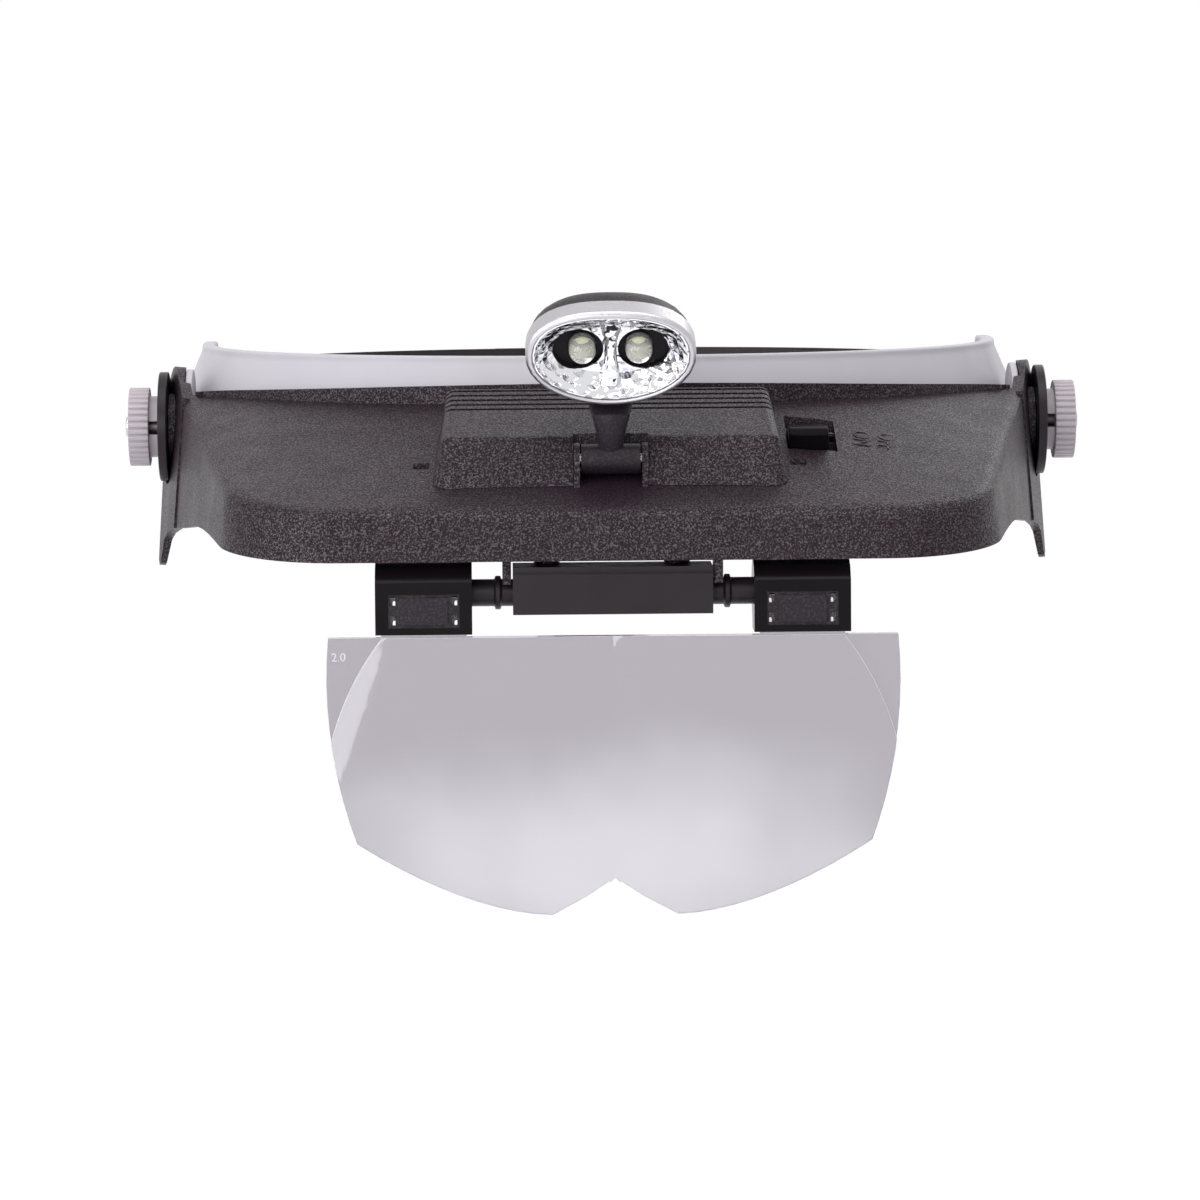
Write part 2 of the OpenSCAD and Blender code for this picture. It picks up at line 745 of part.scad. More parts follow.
module visor_hood() {
    color(black) difference() {
        union() {
            loft([for (e = edge) hood_section(e)]);
            both_sides() {
                on_side_wall() difference() {
                    translate([-hood_wall, 0, 0]) rotate([90, 0, 90])
                        linear_extrude(height = hood_wall) ear_outline();
                    translate([-hood_wall, 0, -wing_thin_z]) rotate([0, -wing_thin, 0])
                        block([-ear_r, -far, -far], [0, far, 0]);
                }
                at_pivot() x_rod(ear_in, ear_out, bolt_r + 4.5);
                at_hinge() {
                    x_rod(lug_in, lug_in + lug_t, lug_r);
                    block([lug_in, -lug_r, roof_z(lug_in, -hinge_ahead) - hood_wall + hinge_drop],
                        [lug_in + lug_t, lug_r, 0]);
                }
                translate([boss_x, -boss_y, -block_top]) cylinder(r = boss_r,
                    h = block_top + roof_z(boss_x, -boss_y) - hood_wall / 2, $fn = round_fn);
                block([tab_in, 1 - hood_front, -tab_low], [tab_in + tab_t, -block_rear - 2, -roof_front]);
            }
            on_deck() block([-tray_tab_w / 2 - 1.2, tray_half_y + loose_gap, tray_step - tray_tab_t - 1.3],
                [tray_tab_w / 2 + 1.2, tray_half_y + tray_tab_l + 1.5, 1.5]);
        }
        both_sides() {
            at_pivot() {
                x_rod(0, far, bolt_r + run_gap);
                x_rod(0, ear_in, ear_r + 0.6);
                x_rod(ear_out, far, disc_d / 2 + 0.6);
            }
            translate([boss_x, -boss_y, -block_top - over])
                cylinder(r = bearing_screw_r, h = 8, $fn = round_fn);
            block([slot_x, -slot_front, -far], [slot_x + slot_w, -slot_front + slot_len, far]);
            on_deck() translate([tray_ear_x, -tray_half_y - tray_ear_l / 2, -tray_floor])
                cylinder(r = tray_screw_r - 0.1, h = 3.8, $fn = round_fn);
        }
        at_hinge() x_rod(-lug_in - lug_t - over, lug_in + lug_t + over, pin_r);
        translate([0, -rod_ahead, -rod_drop]) x_rod(-far, far, rod_d / 2 + loose_gap);
        on_deck() {
            block([-tray_half_x - 0.2, -tray_half_y - 0.2, -far], [tray_half_x + 0.2, tray_half_y + 0.2, far]);
            block([-tray_tab_w / 2 - seat_gap, 0, tray_step - tray_tab_t - seat_gap],
                [tray_tab_w / 2 + seat_gap, tray_half_y + tray_tab_l + seat_gap, tray_step + seat_gap]);
        }
        block([window_x, -window_front, -far], [window_x + window_w, -window_rear, far]);
    }
}

// Battery tray, cells and contacts

module battery_tray() {
    color(black) on_deck() difference() {
        union() {
            block([-tray_half_x, -tray_half_y, -tray_floor - tray_wall], [tray_half_x, tray_half_y, tray_step]);
            block([-tray_half_x, -tray_half_y + 2.4, -tray_floor], [tray_half_x, tray_half_y - 2.4, tray_rim]);
            block([-tray_tab_w / 2, tray_half_y - tray_wall, tray_step - tray_tab_t],
                [tray_tab_w / 2, tray_half_y + tray_tab_l, tray_step]);
            for (side = [-1, 1]) translate([side * tray_ear_x, 0, 0])
                block([-tray_ear_w / 2, -tray_half_y - tray_ear_l, -5.3],
                    [tray_ear_w / 2, -tray_half_y + tray_wall, -3.6]);
        }
        block([-tray_half_x + tray_wall, -tray_half_y + tray_wall, -tray_floor],
            [tray_half_x - tray_wall, tray_half_y - tray_wall, far]);
        for (side = [-1, 1]) translate([side * tray_ear_x, -tray_half_y - tray_ear_l / 2, -far])
            cylinder(r = tray_screw_r + seat_gap, h = far, $fn = round_fn);
    }
}

module tray_screws() {
    color(steel) both_sides() on_deck()
        translate([tray_ear_x, -tray_half_y - tray_ear_l / 2, 0]) {
            translate([0, 0, -5.3]) cylinder(r = tray_screw_r - 0.1, h = 3.4, $fn = round_fn);
            translate([0, 0, -6.3]) cylinder(r = 1.9 * tray_screw_r, h = 1, $fn = round_fn);
        }
}

// Contacts: a plate at each end of each cell, dimpled for a nub, or with a spring
tray_in = tray_half_x - tray_wall;
plate_t = 0.5;
plate_w = 8.6;
dimple_l = 1.6;
nub_l = 1;
cell_x = tray_in - plate_t - dimple_l - seat_gap - cell_l;
spring_wire = 0.35;
spring_turns = 5;
spring_rings = 8;

// Children along the rear cell, and turned round along the front one
module each_cell() {
    on_deck() {
        translate([0, cell_pitch / 2, 0]) children();
        translate([0, -cell_pitch / 2, 0]) rotate([0, 0, 180]) children();
    }
}

module cell(tint) {
    color(tint) {
        x_rod(cell_x, cell_x + cell_l - nub_l, cell_r);
        x_rod(cell_x + cell_l - nub_l, cell_x + cell_l, cell_r / 2);
    }
}

module battery_rear() {
    on_deck() translate([0, cell_pitch / 2, 0]) cell("#3d6aa0");
}

module battery_front() {
    on_deck() translate([0, -cell_pitch / 2, 0]) rotate([0, 0, 180]) cell("#3d6aa0");
}

// Conical spring between the plate and the flat end of a cell
module contact_spring() {
    x0 = -tray_in + plate_t + spring_wire;
    length = cell_x - seat_gap - spring_wire - x0;
    steps = spring_turns * spring_rings;
    loft([for (i = [0 : steps])
        let (s = i / steps, a = 360 * spring_turns * s, r = cell_r * (0.8 - 0.25 * s))
        [for (k = [0 : 5])
            let (b = 60 * k + 30, d = r + spring_wire * sin(b))
            [x0 + length * s + spring_wire * cos(b), d * cos(a), d * sin(a)]]]);
}

module contact_springs() {
    color(steel) each_cell() contact_spring();
}

module contact_plates() {
    color(steel) each_cell() {
        block([tray_in - plate_t, -plate_w / 2, -tray_floor + seat_gap], [tray_in, plate_w / 2, tray_rim]);
        x_rod(tray_in - plate_t - dimple_l, tray_in - plate_t, cell_r / 2);
        block([-tray_in, -plate_w / 2, -tray_floor + seat_gap], [-tray_in + plate_t, plate_w / 2, tray_rim]);
    }
}

// Battery cover: a wedge with drafted sides, seen from outside when inset is 0
cover_edge_r = 1.7;
cover_foot_r = 4.5;
cover_foot_z = -16;
cover_spread = 3;
cover_front_spread = 7;
recess_half = lug_in + lug_t + seat_gap;
recess_rear = hinge_ahead - barrel_r - 0.5;
groove_pitch = 2.45;
groove_w = 0.9;
groove_depth = 0.5;
groove_first = 2.8;

module cover_form(inset) {
    hull() both_sides() {
        translate([cover_half_w - cover_edge_r, -cover_rear - cover_edge_r, cover_rear_z - cover_edge_r])
            sphere(r = cover_edge_r - inset, $fn = hull_fn / 2);
        translate([cover_half_w + 1 - cover_edge_r, cover_edge_r - cover_front, cover_front_z - cover_edge_r])
            sphere(r = cover_edge_r - inset, $fn = hull_fn / 2);
        translate([cover_half_w + cover_spread - cover_edge_r, -cover_rear - cover_edge_r, cover_foot_z])
            cylinder(r = cover_edge_r - inset, h = over, $fn = hull_fn / 2);
        translate([cover_half_w + cover_spread + 1 - cover_foot_r,
            cover_foot_r - cover_front - cover_front_spread, cover_foot_z])
            cylinder(r = cover_foot_r - inset, h = over, $fn = hull_fn);
    }
}

// Room for the hinge in the front of the cover, grown by the wall that lines it
module hinge_recess(grow) {
    block([-recess_half - grow, -far, -far], [recess_half + grow, grow - recess_rear, far]);
}

module battery_cover() {
    color(black) difference() {
        cover_form(0);
        difference() {
            cover_form(cover_wall);
            hinge_recess(cover_wall);
        }
        hinge_recess(0);
        translate([0, 0, seat_gap]) under_roof();
        block([-far, -far, cover_foot_z - over], [far, -hood_front + 6, cover_foot_z + 4]);
        translate([0, -cover_rear, cover_rear_z]) rotate([deck_tilt, 0, 0])
            for (i = [0 : groove_n - 1]) let (y = -groove_first - i * groove_pitch)
                block([-far, y - groove_w / 2, -groove_depth], [far, y + groove_w / 2, over]);
    }
}

// Switch: a box under the window, and a wedge button that slides across it
window_mid_x = window_x + window_w / 2;
window_mid_y = -(window_front + window_rear) / 2;
window_tilt = atan((roof_z(window_mid_x, -window_rear) - roof_z(window_mid_x, -window_front))
    / (window_front - window_rear));
window_half = (window_front - window_rear) / 2 / cos(window_tilt);
switch_depth = 5;
// The roof's inner face bows down beside the window by this much
roof_bow = 0.65;
switch_top = hood_wall * cos(window_tilt) + slide_gap + roof_bow;
button_travel = 1.6;
button_w = window_w - button_travel - loose_gap - seat_gap;
button_h = 4.2;
button_foot = 1.4;

module at_window() {
    translate([window_mid_x, window_mid_y, roof_z(window_mid_x, window_mid_y)])
        rotate([window_tilt, 0, 0]) children();
}

module switch_body() {
    half_x = window_w / 2 + 1;
    color(black) at_window() difference() {
        block([-half_x, -window_half - 1, -switch_top - switch_depth], [half_x, window_half - 0.5, -switch_top]);
        block([-half_x + 0.7, -window_half + 0.2, -switch_top - button_foot - slide_gap],
            [half_x - 0.7, window_half - 1.5, over]);
    }
}

module switch_button() {
    x0 = -window_w / 2 + loose_gap;
    front = -window_half + loose_gap + 0.2;
    back = window_half - 1.5 - loose_gap;
    color(gloss_black) at_window() translate([x0, 0, 0]) rotate([90, 0, 90])
        linear_extrude(height = button_w)
            polygon([[front, -switch_top - button_foot], [back, -switch_top - button_foot],
                [back, -switch_top], [back - 2, 0.4], [front + 0.8, button_h], [front, button_h - 1]]);
}

module lamp_pin() {
    color(steel) at_hinge() x_rod(-lug_in - lug_t, lug_in + lug_t, pin_r);
}

// Rod bearing: a block that the rod snaps into from below
snap_w = 4;

module rod_bearing() {
    color(black) difference() {
        block([-block_half, -block_front, -block_low], [block_half, -block_rear, -block_top]);
        translate([0, -rod_ahead, -rod_drop]) {
            x_rod(-far, far, rod_d / 2 + run_gap);
            block([-far, -snap_w / 2, -far], [far, snap_w / 2, 0]);
        }
        block([-far, -block_front - over, -block_top - 1.3], [far, -block_front + 0.35, -block_top - 0.8]);
        both_sides() translate([boss_x, -boss_y, -far])
            cylinder(r = bearing_screw_r + seat_gap, h = far, $fn = round_fn);
        both_sides() translate([boss_x, -boss_y, -block_low - over])
            cylinder(r = 2 * bearing_screw_r + seat_gap, h = over + 1, $fn = round_fn);
    }
}

module bearing_screws() {
    color(steel) both_sides() translate([boss_x, -boss_y, -block_low]) {
        cylinder(r = 2 * bearing_screw_r, h = 1, $fn = round_fn);
        cylinder(r = bearing_screw_r, h = block_low - block_top + 6, $fn = round_fn);
    }
}

// Lens rod with a flange outside each tab, and a clip on each end
clip_out = clip_in + clip_w;
flange_x = tab_in + tab_t + loose_gap;
flange_t = 1.1;
flange_r = rod_d / 2 + 0.6;

module at_rod() {
    translate([0, -rod_ahead, -rod_drop]) children();
}

module lens_rod() {
    color(gloss_black) at_rod() {
        x_rod(-clip_out + 0.4, clip_out - 0.4, rod_d / 2);
        both_sides() x_rod(flange_x, flange_x + flange_t, flange_r);
    }
}

clip_front = 6;
clip_back = 2.7;
clip_r = 5.8;
clip_low = 7.2;
lens_off = 4;
lens_tab_top = 0.4;
lens_tab_in = 1;
clip_margin = 2.3;
clip_tongue = 4.4;
pane_w = 1;
pane_h = 1.8;
pane_x = 2.7;

module clip() {
    color(gloss_black) at_rod() difference() {
        union() {
            x_rod(clip_in, clip_out, clip_r);
            translate([clip_in, 0, 0]) rotate([90, 0, 90]) linear_extrude(height = clip_w)
                polygon([[-clip_front, 2.4], [-3.6, 5], [0, 4.6], [clip_back, 0],
                    [clip_back, -clip_low], [-clip_front, -clip_low]]);
        }
        x_rod(0, far, rod_d / 2 + run_gap);
        block([clip_in + lens_tab_in - seat_gap, -lens_off - lens_t / 2 - seat_gap, -far],
            [clip_out - lens_tab_in + seat_gap, -lens_off + lens_t / 2 + seat_gap, -lens_tab_top + 0.2]);
        difference() {
            block([clip_in + clip_margin, -far, -6], [clip_out - clip_margin, 0.35 - clip_front, 0.2]);
            block([clip_in + clip_tongue, -far, -5.4], [clip_out - clip_tongue, 0, -0.4]);
        }
        for (x = [clip_in + pane_x, clip_out - pane_x - pane_w], z = [-pane_h, -3 * pane_h])
            block([x, -far, z], [x + pane_w, -lens_off, z + pane_h - 0.1]);
    }
}

module clip_left() {
    clip();
}

module clip_right() {
    mirror([1, 0, 0]) clip();
}

// Lens plate: bowed sides, two lobes below and a notch for the nose
lens_low = lens_top + lens_h;
lens_widest = lens_top + 8;
lens_side_r = 83;
lens_lobe_x = 11.5;
lens_rise = 17.1;
lens_rise_power = 1.7;
lens_dome = 2.4;
lens_mid_x = 27;
lens_mid_z = lens_top + 26;
lens_zone_r = 53.6;
lens_zone_z = lens_top + 33;
lens_y = rod_ahead + lens_off;
lens_points = 12;
lens_reach = sqrt(2 * lens_curve * lens_dome);
lens_arc = concat([[0, 0]],
    [for (i = [lens_points : -1 : 0]) let (r = lens_reach * i / lens_points)
        [r, seat_gap + lens_dome - r * r / (2 * lens_curve)]]);

module lens_outline() {
    side = [for (i = [0 : lens_points]) let (z = lens_top + lens_h * i / lens_points)
        [lens_half_w - pow(z - lens_widest, 2) / (2 * lens_side_r), -z]];
    bottom = [for (i = [lens_points : -1 : 0]) let (s = i / lens_points)
        [lens_lobe_x + s * (lens_half_w - lens_lobe_x), lens_rise * pow(s, lens_rise_power) - lens_low]];
    nose = [[0.45 * lens_lobe_x, nose_h / 2 - lens_low], [0, nose_h - lens_low]];
    for (x = [0, 1]) mirror([x, 0]) intersection() {
        polygon(concat([[-over, -lens_top]], side, [[-over, -lens_low]]));
        polygon(concat([[-over, -lens_top], [lens_half_w, -lens_top]], bottom, nose,
            [[-over, nose_h - lens_low - over]]));
    }
}

// Extrusion of an outline in the XZ plane, from y0 to y1
module xz_slab(y0, y1) {
    translate([0, y1, 0]) rotate([90, 0, 0]) linear_extrude(height = y1 - y0) children();
}

module lens_plate() {
    y0 = -lens_y - lens_t / 2;
    y1 = -lens_y + lens_t / 2;
    color("#d4d4d6") {
        xz_slab(y0, y1) lens_outline();
        both_sides() block([clip_in + lens_tab_in, y0, -lens_top - over],
            [clip_out - lens_tab_in, y1, -rod_drop - lens_tab_top]);
        both_sides() intersection() {
            xz_slab(y0 - lens_dome - over, y1) intersection() {
                lens_outline();
                translate([0, -lens_zone_z]) circle(r = lens_zone_r, $fn = 2 * round_fn);
                translate([0, -far]) square(far);
            }
            translate([lens_mid_x, y0 + seat_gap, -lens_mid_z]) rotate([90, 0, 0])
                rotate_extrude($fn = 2 * round_fn) polygon(lens_arc);
        }
    }
}

// Lamp head, in a frame on the middle of its face that looks along -Y
lamp_points = 48;
lamp_top_power = 2.5;
lamp_low_power = 1.95;
rim_w = 1.2;
shell_wall = 1.3;
shell_steps = 7;
shell_inset = 0.4;
led_z = 0.25;
led_r = led_d / 2;
baffle_y = 5.4;
board_y = 9.4;
head_boss_y = 12;
head_boss_z = -1.5;
head_boss_r = 1.6;
head_boss_l = 5;
head_screw_r = 0.8;

module on_lamp() {
    translate([0, -lamp_ahead, lamp_up]) rotate([lamp_pitch, 0, 0]) children();
}

// Points of the lamp's outline at the depth y, inset inside the rim, scaled by k
function lamp_ring(y, inset, k = 1) =
    [for (i = [0 : lamp_points - 1])
        let (a = 360 * (i + 0.5) / lamp_points,
            r = k * oval_r(90 - a, lamp_half_w - inset, lamp_half_h - inset,
                a < 180 ? lamp_top_power : lamp_low_power))
        [-r * cos(a), y, r * sin(a)]];

// Rings of the head's back from the bezel to its rounded end, set in by inset
function shell_rings(inset) =
    let (y0 = bezel_depth + seat_gap, depth = lamp_depth - inset - y0)
    [for (i = [0 : shell_steps]) let (s = 90 * i / shell_steps)
        lamp_ring(y0 + depth * sin(s), shell_inset + inset, max(pow(cos(s), 0.55), 0.25))];

// Neck from the barrel up into the head: shares of the lamp's reach and of its rise,
// then half of the width and half of the depth
neck_points = 20;
neck = [[0, 0.02, 2.3, 1.9], [0.15, 0.18, 2.4, 1.9], [0.27, 0.33, 3, 1.9], [0.27, 0.45, 3.6, 1.8],
    [0.12, 0.54, 4.1, 1.4], [-0.08, 0.63, 4.5, 1.2], [-0.15, 0.82, 4.7, 2]];

module lamp_bezel() {
    color(silver) on_lamp() difference() {
        loft([lamp_ring(0, 0.6), lamp_ring(0.5, 0.1), lamp_ring(1, 0), lamp_ring(bezel_depth, 0)]);
        loft([lamp_ring(-over, rim_w), lamp_ring(bezel_depth + over, rim_w)]);
    }
}

module lamp_shell() {
    difference() {
        union() {
            on_lamp() difference() {
                loft(concat([lamp_ring(baffle_y - 2.4, rim_w + seat_gap),
                    lamp_ring(bezel_depth + seat_gap, rim_w + seat_gap)], shell_rings(0)));
                loft(concat([lamp_ring(0, rim_w + shell_wall)], shell_rings(shell_wall)));
            }
            at_hinge() {
                loft([for (n = neck) [for (i = [0 : neck_points - 1]) let (a = 360 * (i + 0.5) / neck_points)
                    [n[2] * cos(a), n[3] * sin(a) - n[0] * lamp_reach, n[1] * lamp_rise]]]);
                x_rod(-barrel_l / 2, barrel_l / 2, barrel_r);
            }
            on_lamp() {
                x_rod(-head_boss_l, head_boss_l, head_boss_r, head_boss_y, head_boss_z);
                block([-head_boss_l, head_boss_y, head_boss_z - 0.7],
                    [head_boss_l, lamp_depth - shell_wall / 2, head_boss_z + 0.7]);
            }
        }
        at_hinge() x_rod(-far, far, pin_r + run_gap);
        on_lamp() loft([lamp_ring(-far, rim_w + shell_wall), lamp_ring(baffle_y + 1.2, rim_w + shell_wall)]);
        on_lamp() {
            x_rod(0.8 - head_boss_l, head_boss_l + over, head_screw_r + run_gap, head_boss_y, head_boss_z);
            x_rod(head_boss_l - 1, far, 2 * head_screw_r + seat_gap, head_boss_y, head_boss_z);
        }
    }
}

module lamp_shell_left() {
    color(black) intersection() {
        lamp_shell();
        block([0, -far, -far], [far, far, far]);
    }
}

module lamp_shell_right() {
    color(black) intersection() {
        lamp_shell();
        block([-far, -far, -far], [0, far, far]);
    }
}

module lamp_screw() {
    color(steel) on_lamp() {
        x_rod(1 - head_boss_l, head_boss_l - 1, head_screw_r, head_boss_y, head_boss_z);
        x_rod(head_boss_l - 1, head_boss_l - 0.2, 2 * head_screw_r, head_boss_y, head_boss_z);
    }
}

// Children at each diode, with the second one mirrored
module at_leds() {
    both_sides() translate([led_gap / 2, 0, led_z]) children();
}

// Reflector: an oval bowl behind a thin edge, with an eye for each diode and a waisted rib
eye_w = 4.7;
eye_h = 4.1;
eye_x = 6;
eye_points = 24;
bowl_edge = rim_w + 0.4;
bowl_floor = 5 * rim_w - 1;
bowl_depth = 4;
rib_y = 3;
rib_half = 6.9;
rib = [[1.4, -1], [2, -0.86], [1.9, -0.68], [1.25, -0.25], [1.05, 0.1], [1.25, 0.4], [2.1, 0.83], [2.3, 1]];

module lamp_reflector() {
    color("#e4e4e6") on_lamp() {
        difference() {
            loft([lamp_ring(0.5, rim_w + seat_gap), lamp_ring(baffle_y - 2.6, rim_w + seat_gap),
                lamp_ring(baffle_y - 2.5, 2 * rim_w + shell_wall), lamp_ring(baffle_y - 0.2, 2 * rim_w + shell_wall)]);
            loft([lamp_ring(0, bowl_edge), lamp_ring(0.6, bowl_edge), lamp_ring(bowl_depth, bowl_floor)]);
            both_sides() translate([eye_x, 0, led_z])
                loft([for (y = [1, 6]) [for (i = [0 : eye_points - 1]) let (a = 360 * (i + 0.5) / eye_points)
                    [-eye_w * cos(a), y, eye_h * sin(a)]]]);
        }
        translate([0, rib_y, 0]) rotate_extrude($fn = hull_fn)
            polygon(concat([[0, -rib_half]], [for (r = rib) [r[0], r[1] * rib_half]], [[0, rib_half]]));
    }
}

module lamp_baffle() {
    color(gloss_black) on_lamp() difference() {
        loft([lamp_ring(baffle_y, 2 * rim_w + shell_wall), lamp_ring(baffle_y + 1, 2 * rim_w + shell_wall)]);
        at_leds() y_rod(0, board_y, led_r + seat_gap);
    }
}

module lamp_board() {
    color("#2f5a3a") on_lamp()
        loft([lamp_ring(board_y, 5 * rim_w), lamp_ring(board_y + 1, 5 * rim_w)]);
}

// Diode: a dome on a barrel, with a flange that sits on the board
module led() {
    dome_y = 0.9 + led_r;
    translate([0, dome_y, 0]) sphere(r = led_r, $fn = round_fn);
    y_rod(dome_y, board_y - seat_gap, led_r);
    y_rod(board_y - 1.1, board_y - seat_gap, led_r + 0.35);
}

module led_left() {
    color("#e9e6c8") on_lamp() translate([led_gap / 2, 0, led_z]) led();
}

module led_right() {
    color("#e9e6c8") on_lamp() translate([-led_gap / 2, 0, led_z]) led();
}

brow_band();
forehead_pad();
strap_left();
strap_right();
strap_rivets();
adjuster_housing();
adjuster_cover();
adjuster_screws();
adjuster_knob();
adjuster_pinion();
pivot_pads();
saddle_washers();
pivot_bolts();
friction_discs();
knob_left();
knob_right();
knob_insert_left();
knob_insert_right();
visor_hood();
battery_tray();
tray_screws();
battery_rear();
battery_front();
contact_springs();
contact_plates();
battery_cover();
switch_body();
switch_button();
lamp_pin();
rod_bearing();
bearing_screws();
lens_rod();
clip_left();
clip_right();
lens_plate();
lamp_shell_left();
lamp_shell_right();
lamp_screw();
lamp_bezel();
lamp_reflector();
lamp_baffle();
lamp_board();
led_left();
led_right();
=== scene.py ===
"""Dresses the headband magnifier: every finish, rounded skins for its mouldings,
the sewn forehead cushion, the parts inside the lamp and the marks on the hood.

Sizes are in millimetres until a mesh or a lamp is made, which is in metres.
"""

import json
import logging
import math
from collections.abc import Callable
from dataclasses import dataclass
from enum import Enum

import bmesh
import bpy
import numpy as np
from bpy.types import Material, Mesh, Node, NodeSocket, NodeTree, Object
from mathutils import Matrix, Vector
from mathutils.bvhtree import BVHTree

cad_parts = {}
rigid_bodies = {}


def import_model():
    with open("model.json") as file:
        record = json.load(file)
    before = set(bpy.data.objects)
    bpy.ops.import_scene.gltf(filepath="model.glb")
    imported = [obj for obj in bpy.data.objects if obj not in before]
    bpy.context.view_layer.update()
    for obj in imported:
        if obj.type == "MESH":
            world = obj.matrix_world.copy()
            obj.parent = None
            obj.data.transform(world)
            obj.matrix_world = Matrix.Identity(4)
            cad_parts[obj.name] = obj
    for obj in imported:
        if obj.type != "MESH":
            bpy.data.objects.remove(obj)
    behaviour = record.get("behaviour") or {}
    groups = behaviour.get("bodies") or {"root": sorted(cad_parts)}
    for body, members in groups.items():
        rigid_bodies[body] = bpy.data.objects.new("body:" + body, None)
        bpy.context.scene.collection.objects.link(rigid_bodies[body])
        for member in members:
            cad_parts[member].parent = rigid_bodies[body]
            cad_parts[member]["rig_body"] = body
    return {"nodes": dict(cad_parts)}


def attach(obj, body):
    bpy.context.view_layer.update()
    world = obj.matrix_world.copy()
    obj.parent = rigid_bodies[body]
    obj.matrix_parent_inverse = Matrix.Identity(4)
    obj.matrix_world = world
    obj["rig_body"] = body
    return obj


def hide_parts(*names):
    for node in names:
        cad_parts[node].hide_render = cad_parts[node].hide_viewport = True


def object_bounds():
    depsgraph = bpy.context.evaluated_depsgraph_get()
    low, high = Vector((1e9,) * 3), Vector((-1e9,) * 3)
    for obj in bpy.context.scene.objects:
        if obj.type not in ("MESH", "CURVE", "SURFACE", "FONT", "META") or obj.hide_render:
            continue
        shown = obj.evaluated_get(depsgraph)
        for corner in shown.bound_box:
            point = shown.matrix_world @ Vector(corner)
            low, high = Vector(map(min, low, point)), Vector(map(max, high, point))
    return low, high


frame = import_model()
CAD_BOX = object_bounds()

MM = 0.001
# The values between which nearly all of a noise node's output lies
NOISE_SPAN = (0.3, 0.7)
# The grain's peaks, where a coarse moulded face glints
PEAK_SPAN = (0.48, 0.66)
# How far in degrees a corner's normal may be from the true one that replaces it
GUIDE_REACH = 9.0
# Keeps a division by a length above zero
TINY = 1e-12

Guide = Callable[[np.ndarray], np.ndarray]
Inputs = dict[str | int, object]
log = logging.getLogger("headband_magnifier")


class Side(Enum):
    """The wearer's two sides, as the sign of X."""

    LEFT = 1
    RIGHT = -1


def linear(code: str) -> tuple[float, float, float, float]:
    """Turns an sRGB hex colour into the linear colour that a shader takes.

    Args:
        code: The colour as six hex digits after a hash sign.

    Returns:
        Red, green, blue and an alpha of 1.
    """
    parts = [int(code[i:i + 2], 16) / 255 for i in (1, 3, 5)]
    lit = [p / 12.92 if p <= 0.04045 else ((p + 0.055) / 1.055) ** 2.4 for p in parts]
    return (lit[0], lit[1], lit[2], 1.0)


def feed(tree: NodeTree, node: Node, inputs: Inputs) -> None:
    """Fills sockets of a node.

    Args:
        tree: The node tree that holds the node.
        node: The node.
        inputs: For each socket its value, or the output socket that feeds it.
    """
    for key, value in inputs.items():
        if isinstance(value, NodeSocket):
            tree.links.new(value, node.inputs[key])
        else:
            node.inputs[key].default_value = value


def add_node(
    tree: NodeTree,
    kind: str,
    settings: dict[str, object] | None = None,
    inputs: Inputs | None = None,
) -> Node:
    """Adds a node with its settings and what feeds it.

    Args:
        tree: The node tree that gets the node.
        kind: Blender's name of the node type.
        settings: The node's own properties by name.
        inputs: For each socket its value, or the output socket that feeds it.

    Returns:
        The new node.
    """
    node = tree.nodes.new(kind)
    for key, value in (settings or {}).items():
        setattr(node, key, value)
    feed(tree, node, inputs or {})
    return node


@dataclass(frozen=True)
class Draft:
    """A material being made: its nodes, its surface shader and its Object coordinates."""

    tree: NodeTree
    shader: Node
    place: NodeSocket

    def surface(self, inputs: Inputs) -> None:
        """Fills sockets of the surface shader."""
        feed(self.tree, self.shader, inputs)

    def noise(self, size: float, detail: float, roughness: float = 0.5) -> NodeSocket:
        """Adds noise in Object coordinates.

        Args:
            size: The size of its patches, in mm.
            detail: How many finer layers it has.
            roughness: How strong each finer layer is.

        Returns:
            The noise's value.
        """
        node = add_node(self.tree, "ShaderNodeTexNoise", inputs={
            "Vector": self.place, "Scale": 1 / (size * MM), "Detail": detail,
            "Roughness": roughness})
        return node.outputs["Fac"]

    def ramp(
        self, value: NodeSocket, span: tuple[float, float], low: float, high: float
    ) -> NodeSocket:
        """Carries a value's span over to new ends, and holds it there beyond the span.

        Args:
            value: What is carried over.
            span: The two values that reach the ends.
            low: What the span's first value becomes.
            high: What its second value becomes.

        Returns:
            The new value.
        """
        node = add_node(self.tree, "ShaderNodeMapRange", inputs={
            "Value": value, "From Min": span[0], "From Max": span[1], "To Min": low,
            "To Max": high})
        return node.outputs["Result"]

    def blend(self, share: NodeSocket, first: str, second: str) -> None:
        """Colours the surface.

        Args:
            share: How much of the second colour shows.
            first: The first hex colour.
            second: The second hex colour.
        """
        tint = add_node(self.tree, "ShaderNodeMixRGB", inputs={
            "Fac": share, "Color1": linear(first), "Color2": linear(second)})
        self.surface({"Base Color": tint.outputs["Color"]})

    def bump(self, height: NodeSocket, depth: float) -> None:
        """Makes a pattern stand out from the surface.

        Args:
            height: The pattern.
            depth: What a height of 1 stands for, in mm.
        """
        node = add_node(self.tree, "ShaderNodeBump", inputs={
            "Height": height, "Distance": depth * MM, "Strength": 1.0})
        self.surface({"Normal": node.outputs["Normal"]})


